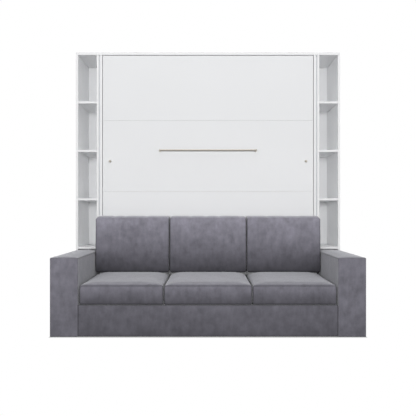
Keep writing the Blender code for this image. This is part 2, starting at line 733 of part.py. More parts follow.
def back_cushions():
    """Three loose back cushions that stand on the seat and lean on the door."""
    face_back = front - BACK_DOOR_GAP
    foot = resting_height()
    height = BACK_TOP_HEIGHT - foot - PUCKER_HEIGHT
    thickness = face_back - cushion_front
    for word, low, high in cushion_spans(arm_inner, BACK_SIDE_GAP, BACK_CUSHION_GAP):
        swing = axis_empty("back_cushion_axis_" + word, (0, swing_y, swing_z))
        mesh = cushion_mesh("back_cushion_" + word, (high - low, height, thickness), (14, 12, 4),
                            BACK_CORNER, BACK_CROWN, BACK_PULL, BACK_BULGE, BACK_FOOT_ROUND,
                            PUCKER_HEIGHT)
        mesh.transform(Matrix.Rotation(math.pi / 2, 4, "X"))
        piece("back_cushion_" + word, mesh, ((low + high) / 2, face_back, foot + height / 2),
              GREY_VELOUR, swing)


def print_joint_values():
    """Print the places and ratios of the joints, for whoever poses the model."""
    rest = STRUT_TOP_HEIGHT - stud_z
    lowered_y = pin_y + STUD_FROM_PIN_Z
    lowered_z = pin_z + STUD_FROM_PIN_Y
    run_y, run_z = lowered_y - stud_y, STRUT_TOP_HEIGHT - lowered_z
    swing = math.atan2(run_y, run_z)
    closing = rest - math.hypot(run_y, run_z)
    print("bed_fold pin", pin_y, pin_z)
    print("strut stud top", stud_y, STRUT_TOP_HEIGHT, "foot", stud_y, stud_z)
    print("strut swing deg", math.degrees(swing), "ratio", swing / (math.pi / 2))
    print("strut rod travel", closing, "ratio", closing / (math.pi / 2))
    print("leg centre", leg_x, front, leg_z, "travel", leg_travel)
    print("back cushion swing", swing_y, swing_z)


def main():
    """Build the whole object."""
    clear_scene()
    cabinet_carcass()
    bed = axis_empty("bed_fold_axis", (0, pin_y, pin_z))
    panels = door_panels(bed)
    drill_leg_holes(panels)
    bed_frame(bed)
    door_handle(bed)
    for side, word in ((-1, "left"), (1, "right")):
        shelf_tower(side, word)
        hinge_and_strut(side, word, bed)
        telescopic_leg(side, word, bed)
    sofa_body()
    seat_cushions()
    back_cushions()
    print_joint_values()


if __name__ == "__main__":
    main()
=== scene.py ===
"""The looks of the wall bed with sofa, dressed on its packed model.

Each sub-assembly is a class. It gives the model's own nodes their finish, and it
adds what the solids leave plain: the upholstery, the mattress with its straps, the
handle, the feet of the legs and the small fittings of the mechanism.

Metres, +Z up, the front faces -Y. The origin is on the floor, below the middle.
"""

import json
import logging
import math
from collections.abc import Callable, Iterable, Iterator
from contextlib import contextmanager
from dataclasses import dataclass
from enum import Enum
from typing import ClassVar

import bpy
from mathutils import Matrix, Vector, kdtree, noise


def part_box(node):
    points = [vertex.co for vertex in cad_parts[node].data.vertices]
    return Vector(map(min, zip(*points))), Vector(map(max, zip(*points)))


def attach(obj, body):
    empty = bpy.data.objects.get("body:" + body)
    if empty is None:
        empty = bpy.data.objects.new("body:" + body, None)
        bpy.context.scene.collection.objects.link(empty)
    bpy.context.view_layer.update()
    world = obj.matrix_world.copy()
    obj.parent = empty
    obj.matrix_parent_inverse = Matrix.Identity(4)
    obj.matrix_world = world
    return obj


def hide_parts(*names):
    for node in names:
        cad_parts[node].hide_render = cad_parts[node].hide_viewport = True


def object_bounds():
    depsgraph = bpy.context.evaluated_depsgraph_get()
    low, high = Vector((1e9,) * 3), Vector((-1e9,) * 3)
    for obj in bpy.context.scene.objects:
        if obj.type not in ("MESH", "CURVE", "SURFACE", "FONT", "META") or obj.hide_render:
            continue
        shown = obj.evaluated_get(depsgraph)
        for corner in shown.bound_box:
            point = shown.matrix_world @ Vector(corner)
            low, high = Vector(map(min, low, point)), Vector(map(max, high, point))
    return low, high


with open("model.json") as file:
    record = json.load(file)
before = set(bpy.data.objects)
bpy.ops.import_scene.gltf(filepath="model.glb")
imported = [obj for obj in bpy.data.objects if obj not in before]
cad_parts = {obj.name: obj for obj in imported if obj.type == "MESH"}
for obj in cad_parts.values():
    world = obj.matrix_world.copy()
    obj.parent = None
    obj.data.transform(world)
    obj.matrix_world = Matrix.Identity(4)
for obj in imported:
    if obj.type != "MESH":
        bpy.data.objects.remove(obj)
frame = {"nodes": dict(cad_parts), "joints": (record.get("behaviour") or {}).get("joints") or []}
cad_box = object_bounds()

log = logging.getLogger("wall_bed")

Pair = tuple[float, float]
Triple = tuple[float, float, float]
Colour = Triple
Test = Callable[[Vector, Vector], bool]

SHARP_ANGLE = math.radians(35)
# Metres within which two places count as level with each other.
CLOSE = 0.001
# How much of a direction has to lie on an axis that it counts as running along.
ALONG_AXIS = 0.9
# Metres within which doubled points are merged.
MERGE = 0.00001


class Side(Enum):
    """Which half of the object a piece is on."""

    LEFT = -1
    RIGHT = 1

    @property
    def word(self) -> str:
        """The side as piece names have it."""
        return self.name.lower()


class Seat(Enum):
    """The three places of the sofa."""

    LEFT = "left"
    MIDDLE = "middle"
    RIGHT = "right"


class Slot(Enum):
    """The material slots of the record."""

    GLOSS = "white_gloss"
    BOARD = "white_board"
    SPACER = "spacer_grey"
    BIRCH = "birch"
    NICKEL = "nickel"
    STEEL = "steel"
    BLACK = "black_steel"
    CHROME = "chrome"
    VELOUR = "velour"
    TICKING = "ticking"


class Pick(Enum):
    """What an edit-mode tool works on, as Blender's select mode has it."""

    POINTS = (True, False, False)
    EDGES = (False, True, False)
    FACES = (False, False, True)


def smooth_rise(low: float, high: float, value: float) -> float:
    """A soft step from 0 at low to 1 at high."""
    share = min(1.0, max(0.0, (value - low) / (high - low)))
    return share * share * (3 - 2 * share)


def bell(distance: float, width: float) -> float:
    """A bell curve, 1 at no distance."""
    return math.exp(-(distance / width) ** 2)


def joint_place(name: str) -> Vector:
    """Where the axis of a hinge lies at rest."""
    return Vector(next(joint["pos_m"] for joint in frame["joints"] if joint["name"] == name))


def math_node(operation: str, meaning: str) -> Callable[..., "Wire"]:
    """Make a method that adds a Math node.

    Args:
        operation: What the node does with the wire and the method's arguments.
        meaning: What the method's docstring says.

    Returns:
        The method.
    """
    def method(self: "Wire", *others: "Wire | float") -> "Wire":
        return self.recipe.node("ShaderNodeMath", {"operation": operation},
                                dict(enumerate((self, *others))))
    method.__doc__ = meaning
    return method


class Wire:
    """One output of a node in a material, on which sums can be written."""

    def __init__(self, recipe: "Recipe", socket: bpy.types.NodeSocket) -> None:
        """Keep a socket and the recipe it belongs to."""
        self.recipe = recipe
        self.socket = socket

    __add__ = __radd__ = math_node("ADD", "Sum.")
    __sub__ = math_node("SUBTRACT", "Difference.")
    __mul__ = __rmul__ = math_node("MULTIPLY", "Product.")
    __truediv__ = math_node("DIVIDE", "Quotient.")
    __lt__ = math_node("LESS_THAN", "1 where this is less.")
    __abs__ = math_node("ABSOLUTE", "Size without sign.")
    greatest = math_node("MAXIMUM", "The greater of two.")
    wave = math_node("SINE", "Sine of an angle.")

    def __rsub__(self, other: float) -> "Wire":
        """Difference from a number."""
        return self.recipe.node("ShaderNodeMath", {"operation": "SUBTRACT"}, {0: other, 1: self})

    def sine(self, pitch: float) -> "Wire":
        """A wave from 0 to 1 that repeats each pitch."""
        return (self * (2 * math.pi / pitch)).wave() * 0.5 + 0.5


class Recipe:
    """The node tree of one material, written as expressions."""

    def __init__(self, name: str, tree: bpy.types.NodeTree | None = None) -> None:
        """Start a material.

        Args:
            name: What the material is called.
            tree: A tree to write in instead, such as the world's.
        """
        self.material = None if tree else bpy.data.materials.new(name)
        if self.material:
            self.material.use_nodes = True
        self.tree = tree or self.material.node_tree

    def plug(self, socket: bpy.types.NodeSocket, value: object) -> None:
        """Link a wire to a socket, or set a plain value on it."""
        if isinstance(value, Wire):
            self.tree.links.new(value.socket, socket)
        elif socket.type == "RGBA" and len(value) == 3:
            socket.default_value = (*value, 1.0)
        else:
            socket.default_value = value

    def node(self, kind: str, settings: dict | None = None, sockets: dict | None = None,
             outlet: int | str = 0) -> Wire:
        """Add one node.

        Args:
            kind: The node's type.
            settings: Its properties, set first, and a ramp's stops as (place, colour) pairs.
            sockets: What goes into its inputs, by name or number.
            outlet: Which of its outputs is wanted.

        Returns:
            The output as a wire.
        """
        made = self.tree.nodes.new(kind)
        for key, value in (settings or {}).items():
            if key == "stops":
                self._set_stops(made.color_ramp, value)
            else:
                setattr(made, key, value)
        for key, value in (sockets or {}).items():
            self.plug(made.inputs[key], value)
        return Wire(self, made.outputs[outlet])

    @staticmethod
    def _set_stops(ramp: bpy.types.ColorRamp, stops: Iterable[tuple[float, Colour]]) -> None:
        """Give a colour ramp its stops."""
        for number, (place, colour) in enumerate(stops):
            known = number < len(ramp.elements)
            stop = ramp.elements[number] if known else ramp.elements.new(place)
            stop.position = place
            stop.color = (*colour, 1.0)

    def place(self, axis: int) -> Wire:
        """One coordinate of the surface, in metres."""
        spot = self.node("ShaderNodeTexCoord", outlet="Object")
        return self.node("ShaderNodeSeparateXYZ", sockets={0: spot}, outlet=axis)

    def noise(self, size: float, detail: float = 2.0, rough: float = 0.5,
              stretch: Triple = (1, 1, 1)) -> Wire:
        """Soft random blotches, 0 to 1.

        Args:
            size: How wide a blotch is.
            detail: How many finer layers it has.
            rough: How strong the finer layers are.
            stretch: How much longer a blotch is along each axis.
        """
        spot = self.node("ShaderNodeTexCoord", outlet="Object")
        scaled = self.node("ShaderNodeMapping", {}, {
            "Vector": spot, "Scale": tuple(1 / (size * share) for share in stretch)})
        return self.node("ShaderNodeTexNoise", {}, {
            "Vector": scaled, "Scale": 1.0, "Detail": detail, "Roughness": rough})

    def attribute(self, name: str) -> Wire:
        """A value that the mesh carries on its points."""
        return self.node("ShaderNodeAttribute", {"attribute_name": name}, outlet="Fac")

    def ramp(self, value: Wire, *stops: tuple[float, Colour]) -> Wire:
        """A colour read from stops."""
        return self.node("ShaderNodeValToRGB", {"stops": stops}, {0: value})

    def blend(self, share: Wire, first: "Wire | Colour", second: "Wire | Colour") -> Wire:
        """Two colours mixed, the second by a share."""
        return self.node("ShaderNodeMix", {"data_type": "RGBA"},
                         {0: share, 6: first, 7: second}, outlet=2)

    def bump(self, height: Wire, distance: float) -> Wire:
        """A normal that makes the surface look raised by height times distance."""
        return self.node("ShaderNodeBump", {}, {
            "Height": height, "Distance": distance, "Strength": 1.0})

    def surface(self, **sockets: object) -> None:
        """Set the sockets of the material's own shader, an underline for each space."""
        shader = self.tree.nodes["Principled BSDF"]
        for key, value in sockets.items():
            self.plug(shader.inputs[key.replace("_", " ")], value)

    def show(self, output: str, shader: Wire) -> None:
        """Make a shader the tree's result."""
        self.plug(self.tree.nodes[output].inputs["Surface"], shader)


@dataclass(frozen=True)
class Finish:
    """A surface finish. Each kind mixes its own material from these values."""

    name: str
    slot: Slot | None
    colour: Colour
    roughness: float
    mark: float = 0.0009
    mark_height: float = 0.00003
    drift: float = 0.02
    tones: Pair = (0.9, 1.1)
    uneven: float = 0.14
    low_stop: float = 0.3
    high_stop: float = 0.7

    def material(self) -> bpy.types.Material:
        """The finish as a material, made once."""
        made = bpy.data.materials.get(self.name)
        if made is None:
            recipe = Recipe(self.name)
            self.mix(recipe)
            made = recipe.material
        return made

    def mix(self, recipe: Recipe) -> None:
        """Write the material's nodes."""
        raise NotImplementedError

    def shade(self, share: float) -> Colour:
        """The colour, lighter or darker by a share."""
        return tuple(channel * share for channel in self.colour)

    def toned(self, recipe: Recipe, tone: Wire) -> Wire:
        """The colour as it drifts between the two tones."""
        low, high = self.tones
        return recipe.ramp(tone, (self.low_stop, self.shade(low)),
                           (self.high_stop, self.shade(high)))

    def rough(self, tone: Wire) -> Wire:
        """The roughness, uneven by a tone."""
        return self.roughness + (tone - 0.5) * self.uneven

    def dress(self, *nodes: str) -> None:
        """Give this finish to nodes of the model."""
        for name in nodes:
            thing = frame["nodes"][name]
            for holder in thing.material_slots:
                holder.material = self.material()
            log.info("dressed %s in %s", name, self.name)


@dataclass(frozen=True)
class Board(Finish):
    """Satin melamine on chipboard, with a thin edge band on the front."""

    mark: float = 0.0011
    drift: float = 0.35
    tones: Pair = (0.985, 1.01)
    uneven: float = 0.12
    band: float = 0.0016
    # How much darker the front edge band is: partly its own tone, partly painted shade.
    band_tone_and_painted_shade: float = 0.70
    band_polish: float = 0.08
    joint: float = 0.0003
    joint_share: float = 0.60

    def mix(self, recipe: Recipe) -> None:
        """Fine pebble, a trace of uneven tone, a greyer edge band and the joint behind it."""
        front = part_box("top_board")[0].y
        behind = recipe.place(1) - front
        on_band = behind < self.band
        in_joint = abs(behind - self.band) < self.joint
        tone = recipe.noise(self.drift, detail=3)
        # Painted shade on the front edge band, partly the band's own tone.
        with_band_shade = recipe.blend(on_band, self.toned(recipe, tone), self.shade(self.band_tone_and_painted_shade))
        pebble = recipe.noise(self.mark, detail=1)
        recipe.surface(
            Base_Color=recipe.blend(in_joint, with_band_shade, self.shade(self.joint_share)),
            Roughness=self.rough(tone) - on_band * self.band_polish,
            Normal=recipe.bump(pebble, self.mark_height))


@dataclass(frozen=True)
class Gloss(Finish):
    """High-gloss lacquer with a faint orange peel and a few wiped smears."""

    mark: float = 0.006
    mark_height: float = 0.000012
    drift: float = 0.5
    tones: Pair = (0.992, 1.006)
    uneven: float = 0.10
    smear: float = 0.16

    def mix(self, recipe: Recipe) -> None:
        """A clear coat over an even white, rougher where it was wiped."""
        smear = recipe.noise(self.smear, detail=4, rough=0.6, stretch=(3, 1, 1))
        tone = recipe.noise(self.drift)
        peel = recipe.noise(self.mark, detail=1)
        recipe.surface(Base_Color=self.toned(recipe, tone), Roughness=self.rough(smear),
                       Normal=recipe.bump(peel, self.mark_height),
                       Coat_Weight=0.6, Coat_Roughness=0.04)


@dataclass(frozen=True)
class Ply(Finish):
    """Bare birch plywood: long grain, fine pores and darker flecks."""

    mark: float = 0.0012
    mark_height: float = 0.00015
    drift: float = 0.12
    uneven: float = 0.2
    grain: float = 0.010
    fleck_share: float = 0.78
    pale_share: float = 1.16

    def mix(self, recipe: Recipe) -> None:
        """Grain along X, pores in the bump."""
        grain = recipe.noise(self.grain, detail=4, rough=0.6, stretch=(18, 1, 1))
        drift = recipe.noise(self.drift, stretch=(3, 1, 1))
        pores = recipe.noise(self.mark, stretch=(14, 1, 1))
        recipe.surface(
            Base_Color=recipe.ramp(
                grain * 0.7 + drift * 0.3, (0.25, self.shade(self.fleck_share)),
                (0.5, self.colour), (0.75, self.shade(self.pale_share))),
            Roughness=self.rough(pores), Normal=recipe.bump(pores, self.mark_height))


@dataclass(frozen=True)
class Metal(Finish):
    """Bare or plated metal with a brushed or spangled surface."""

    mark: float = 0.0006
    mark_height: float = 0.00001
    drift: float = 0.05
    tones: Pair = (0.88, 1.08)
    uneven: float = 0.10
    stretch: Triple = (40, 1, 1)

    def mix(self, recipe: Recipe) -> None:
        """Marks in roughness and relief, and a slow drift in tone."""
        marks = recipe.noise(self.mark, stretch=self.stretch)
        drift = recipe.noise(self.drift)
        recipe.surface(Base_Color=self.toned(recipe, marks * 0.6 + drift * 0.4),
                       Roughness=self.rough(marks),
                       Normal=recipe.bump(marks, self.mark_height), Metallic=1.0)


@dataclass(frozen=True)
class Coating(Finish):
    """Paint or moulded plastic with a fine texture and slightly uneven gloss."""

    def mix(self, recipe: Recipe) -> None:
        """An even colour with a fine relief."""
        fine = recipe.noise(self.mark)
        wide = recipe.noise(self.drift)
        recipe.surface(Base_Color=self.toned(recipe, wide), Roughness=self.rough(wide),
                       Normal=recipe.bump(fine, self.mark_height))


@dataclass(frozen=True)
class Velour(Finish):
    """Brushed velour: a cloudy nap, long soft strokes, and a sheen when seen along it."""

    mark: float = 0.0016
    mark_height: float = 0.0004
    drift: float = 0.24
    uneven: float = 0.3
    low_stop: float = 0.34
    high_stop: float = 0.66
    cloud: float = 0.058
    stroke: float = 0.030
    contrast: float = 0.34
    painted_shade_share: float = 0.12

    def mix(self, recipe: Recipe) -> None:
        """Lay the nap's tones over each other, and darken the seams."""
        clouds = recipe.noise(self.cloud, detail=4, rough=0.62)
        drift = recipe.noise(self.drift)
        strokes = recipe.noise(self.stroke, detail=4, rough=0.6, stretch=(1, 1, 3))
        pile = recipe.noise(self.mark, rough=0.6)
        tone = clouds * 0.4 + drift * 0.25 + strokes * 0.25 + pile * 0.1
        cloth = recipe.ramp(tone, (self.low_stop, self.shade(1 - self.contrast)),
                            (0.5, self.colour), (self.high_stop, self.shade(1 + self.contrast)))
        # Painted light: the cloth scaled darker towards each piece's foot, lighter towards its top
        # and on faces turned up.
        painted_lit_cloth = recipe.node("ShaderNodeVectorMath", {"operation": "SCALE"},
                              {0: cloth, "Scale": recipe.attribute("nap")})
        # Painted shade: darker in the seam grooves, at the foot, against neighbours and under the
        # back cushions.
        seam = recipe.attribute("seam")
        recipe.surface(
            Base_Color=recipe.blend(seam, painted_lit_cloth, self.shade(self.painted_shade_share)),
            Roughness=self.rough(tone),
            Normal=recipe.bump(pile + clouds * 1.5, self.mark_height),
            Sheen_Weight=0.45, Sheen_Roughness=0.5, Sheen_Tint=(0.95, 0.96, 1.0),
            Specular_IOR_Level=0.25)


@dataclass(frozen=True)
class Knit(Finish):
    """Knitted or woven cloth with a fine regular rib."""

    mark: float = 0.0016
    mark_height: float = 0.00035
    drift: float = 0.09
    tones: Pair = (0.95, 1.04)
    uneven: float = 0.1
    painted_shade_share: float = 0.72

    def mix(self, recipe: Recipe) -> None:
        """Cross a fine rib on all three axes, and let the tone drift."""
        ribs = recipe.place(0).sine(self.mark) * 0.5 + recipe.place(2).sine(self.mark) * 0.5
        across = recipe.place(1).sine(self.mark) * 0.5
        wide = recipe.noise(self.drift, detail=3)
        # Painted shade in the seam grooves of the mattress.
        seam = recipe.attribute("seam")
        recipe.surface(
            Base_Color=recipe.blend(seam, self.toned(recipe, wide), self.shade(self.painted_shade_share)),
            Roughness=self.rough(wide),
            Normal=recipe.bump(ribs + across, self.mark_height), Sheen_Weight=0.15)


WHITE_BOARD = Board("white_melamine", Slot.BOARD, (0.915, 0.92, 0.93), 0.46)
SPACER_BOARD = Board("grey_melamine", Slot.SPACER, (0.50, 0.515, 0.53), 0.52)
WHITE_GLOSS = Gloss("white_gloss_lacquer", Slot.GLOSS, (0.60, 0.605, 0.615), 0.12)
BIRCH_PLY = Ply("birch_plywood", Slot.BIRCH, (0.62, 0.47, 0.30), 0.62)
# Near black, so the seat frame shows only as painted shade in the gaps between the cushions.
GAP_SHADE_PLY = Ply("stained_plywood", Slot.BIRCH, (0.055, 0.045, 0.038), 0.70)
NICKEL = Metal("brushed_nickel", Slot.NICKEL, (0.475, 0.437, 0.382), 0.30)
ZINC = Metal("zinc_plated_steel", Slot.STEEL, (0.55, 0.56, 0.58), 0.38, mark=0.004,
             stretch=(1, 1, 1), uneven=0.18, mark_height=0.00002)
CHROME = Metal("hard_chrome", Slot.CHROME, (0.76, 0.77, 0.79), 0.10, mark=0.0004,
               stretch=(1, 1, 60), uneven=0.05, mark_height=0.000004)
BLACK_PAINT = Coating("black_paint", Slot.BLACK, (0.028, 0.028, 0.031), 0.36)
NYLON = Coating("white_nylon", None, (0.66, 0.66, 0.64), 0.45)
GREY_VELOUR = Velour("violet_grey_velour", Slot.VELOUR, (0.124, 0.120, 0.142), 0.82)
TICKING = Knit("mattress_ticking", Slot.TICKING, (0.74, 0.73, 0.70), 0.85)
TAPE = Knit("edge_tape", Slot.TICKING, (0.42, 0.42, 0.43), 0.75, mark=0.0022)
WEBBING = Knit("strap_webbing", None, (0.10, 0.10, 0.11), 0.70, mark=0.0028, mark_height=0.0005)


class Workpiece:
    """One new mesh, shaped in edit mode with the tools that a hand would use."""

    def __init__(self, name: str) -> None:
        """Take over the primitive that was just added, and apply its place."""
        self.obj = bpy.context.object
        self.obj.name = name
        self.obj.data.name = name
        self.kind = Pick.FACES
        bpy.ops.object.transform_apply(location=True, rotation=True, scale=True)

    @classmethod
    def block(cls, name: str, low: Vector, high: Vector) -> "Workpiece":
        """A box between two corners."""
        bpy.ops.object.select_all(action="DESELECT")
        low, high = Vector(low), Vector(high)
        bpy.ops.mesh.primitive_cube_add(size=1, location=(low + high) / 2, scale=high - low)
        return cls(name)

    @classmethod
    def turned(cls, name: str, centre: Vector, facing: Vector,
               rings: Iterable[Pair], sides: int = 32) -> "Workpiece":
        """A turned solid: a disc that is extruded and resized from ring to ring.

        Args:
            name: The piece's name.
            centre: Where the axis starts.
            facing: Which way the axis runs.
            rings: The (radius, place along the axis) of each ring, none on the axis.
            sides: The faces round it.

        Returns:
            The closed solid.
        """
        steps = list(rings)
        axis = Vector(facing).normalized()
        radius, along = steps[0]
        bpy.ops.object.select_all(action="DESELECT")
        bpy.ops.mesh.primitive_circle_add(
            vertices=sides, radius=radius, fill_type="NGON", location=Vector(centre) + axis * along,
            rotation=axis.to_track_quat("Z", "Y").to_euler())
        work = cls(name).all()
        for new_radius, new_along in steps[1:]:
            work.extrude(axis * (new_along - along))
            work.resize(new_radius / radius, Vector(centre) + axis * new_along)
            radius, along = new_radius, new_along
        return work.outward()

    def take_up(self) -> None:
        """Make this the only selected object, and the active one."""
        bpy.ops.object.select_all(action="DESELECT")
        self.obj.select_set(True)
        bpy.context.view_layer.objects.active = self.obj

    @contextmanager
    def editing(self) -> Iterator[None]:
        """Edit mode, with what was picked selected."""
        self.take_up()
        bpy.context.tool_settings.mesh_select_mode = self.kind.value
        bpy.ops.object.mode_set(mode="EDIT")
        yield
        bpy.ops.object.mode_set(mode="OBJECT")

    def pick(self, kind: Pick, test: Test) -> "Workpiece":
        """Select points, edges or faces.

        Args:
            kind: Which of the three.
            test: Says of a place and a direction if it is wanted. The direction is the
                normal of a point or face, and the run of an edge.
        """
        mesh = self.obj.data
        self.kind = kind
        for group in (mesh.vertices, mesh.edges, mesh.polygons):
            group.foreach_set("select", [False] * len(group))
        if kind is Pick.FACES:
            for face in mesh.polygons:
                face.select = test(face.center, face.normal)
        elif kind is Pick.EDGES:
            for edge in mesh.edges:
                start, end = (mesh.vertices[number].co for number in edge.vertices)
                edge.select = test((start + end) / 2, (end - start).normalized())
        else:
            for point in mesh.vertices:
                point.select = test(point.co, point.normal)
        return self

    def all(self) -> "Workpiece":
        """Select every face."""
        return self.pick(Pick.FACES, lambda place, normal: True)

    def extrude(self, move: Vector) -> "Workpiece":
        """Draw the picked faces or edges out."""
        with self.editing():
            bpy.ops.mesh.extrude_region_move(TRANSFORM_OT_translate={"value": tuple(move)})
        return self

    def delete(self, kind: str) -> "Workpiece":
        """Take away what is picked."""
        with self.editing():
            bpy.ops.mesh.delete(type=kind)
        return self

    def bevel(self, width: float, segments: int) -> "Workpiece":
        """Round the picked edges."""
        with self.editing():
            bpy.ops.mesh.bevel(offset=width, segments=segments, affect="EDGES")
        return self

    def slice(self, axis: int, places: Iterable[float]) -> "Workpiece":
        """Cut lines of edges round the whole mesh, square to an axis."""
        normal = Vector([float(number == axis) for number in range(3)])
        self.all()
        with self.editing():
            for place in places:
                bpy.ops.mesh.select_all(action="SELECT")
                bpy.ops.mesh.bisect(plane_co=normal * place, plane_no=normal)
        return self

    def shrink(self, distance: float) -> "Workpiece":
        """Push what is picked in along its normals."""
        with self.editing():
            bpy.ops.transform.shrink_fatten(value=-distance)
        return self

    def resize(self, share: float, centre: Vector) -> "Workpiece":
        """Scale what is picked about a place."""
        with self.editing():
            bpy.ops.transform.resize(value=(share,) * 3, center_override=centre)
        return self

    def outward(self) -> "Workpiece":
        """Merge doubles, and turn every face outwards."""
        self.all()
        with self.editing():
            bpy.ops.mesh.remove_doubles(threshold=MERGE)
            bpy.ops.mesh.normals_make_consistent(inside=False)
        return self

    def modify(self, kind: str, **settings: object) -> "Workpiece":
        """Add a modifier and apply it."""
        modifier = self.obj.modifiers.new(kind.lower(), kind)
        for key, value in settings.items():
            setattr(modifier, key, value)
        self.take_up()
        bpy.ops.object.modifier_apply(modifier=modifier.name)
        return self

    def unite(self, other: "Workpiece") -> "Workpiece":
        """Fuse another solid to this one."""
        self.modify("BOOLEAN", operation="UNION", solver="EXACT", object=other.obj)
        bpy.data.objects.remove(other.obj)
        return self

    def move_points(self, rule: Callable[[Vector], Vector]) -> "Workpiece":
        """Put each point where a rule says."""
        for point in self.obj.data.vertices:
            point.co = rule(point.co.copy())
        return self

    def copy(self, name: str) -> "Workpiece":
        """A copy with its own mesh."""
        self.take_up()
        bpy.ops.object.duplicate(linked=False)
        return Workpiece(name)

    def join(self, others: Iterable["Workpiece"]) -> "Workpiece":
        """Make one piece of this and some others, each still its own shell."""
        self.take_up()
        for other in others:
            other.obj.select_set(True)
        bpy.ops.object.join()
        return self

    def finish(self, body: str, finish: Finish, *nodes: str) -> bpy.types.Object:
        """Shade the piece, dress it, and set it on its body.

        Args:
            body: The body that it rides on.
            finish: What it is made of.
            nodes: The model's nodes that it stands for.

        Returns:
            The finished object.
        """
        self.take_up()
        bpy.ops.object.shade_smooth_by_angle(angle=SHARP_ANGLE)
        self.obj.data.materials.clear()
        self.obj.data.materials.append(finish.material())
        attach(self.obj, body)
        if nodes:
            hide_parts(*nodes)
        log.info("made %s, %d points", self.obj.name, len(self.obj.data.vertices))
        return self.obj


@dataclass(frozen=True)
class Stuffing:
    """A short cloth run that blows a closed cover up, held at its seams.

    The run is on a coarse skin of the cover, which hands its moves on to the fine one.
    """

    cap: float
    sideways: float = 0.3
    skin: float = 0.016
    pressure: float = 4.0
    frames: int = 20
    least_move: float = 0.000001
    neighbours: int = 8

    def blow(self, core: Workpiece, held: Callable[[Vector], float]) -> list[Vector]:
        """Run the cloth on a coarse skin.

        Args:
            core: The coarse closed skin.
            held: How firmly the cover is held at a place, 0 to 1.

        Returns:
            How far each of its points went.
        """
        thing, scene = core.obj, bpy.context.scene
        start = [point.co.copy() for point in thing.data.vertices]
        group = thing.vertex_groups.new(name="held")
        for number, place in enumerate(start):
            group.add([number], held(place), "REPLACE")
        scene.frame_set(1)
        cloth = thing.modifiers.new("stuffing", "CLOTH")
        cloth.settings.quality = 4
        cloth.settings.use_pressure = True
        cloth.settings.uniform_pressure_force = self.pressure
        cloth.settings.vertex_group_mass = group.name
        cloth.settings.effector_weights.gravity = 0.0
        cloth.point_cache.frame_end = self.frames
        for number in range(1, self.frames + 1):
            scene.frame_set(number)
        blown = thing.evaluated_get(bpy.context.evaluated_depsgraph_get())
        moves = [point.co - begin for point, begin in zip(blown.data.vertices, start)]
        scene.frame_set(1)
        return moves

    def fill(self, work: Workpiece, out: int, held: Callable[[Vector], float]) -> None:
        """Swell the cover. A point nears the cap and never passes it.

        Args:
            work: The closed cover.
            out: The axis along which it may swell most.
            held: How firmly the cover is held at a place, 0 to 1.
        """
        core = work.copy(work.obj.name + "_core")
        core.modify("REMESH", mode="VOXEL", voxel_size=self.skin)
        tree = kdtree.KDTree(len(core.obj.data.vertices))
        for number, point in enumerate(core.obj.data.vertices):
            tree.insert(point.co, number)
        tree.balance()
        moves = self.blow(core, held)
        for point in work.obj.data.vertices:
            total, weights = Vector(), 0.0
            for _, number, distance in tree.find_n(point.co, self.neighbours):
                weight = bell(distance, self.skin) + self.least_move
                total += moves[number] * weight
                weights += weight
            move = total / weights
            for axis in range(3):
                move[axis] *= 1.0 if axis == out else self.sideways
            reach = max(move.length, self.least_move)
            point.co += move * (self.cap * math.tanh(reach / self.cap) / reach)
        bpy.data.objects.remove(core.obj)


class Lie(Enum):
    """How a padded piece lies: its axes across, along and through it, and where its crown looks."""

    FLAT = (0, 1, 2, 1)
    UPRIGHT = (0, 2, 1, -1)
    BEHIND = (0, 2, 1, 1)


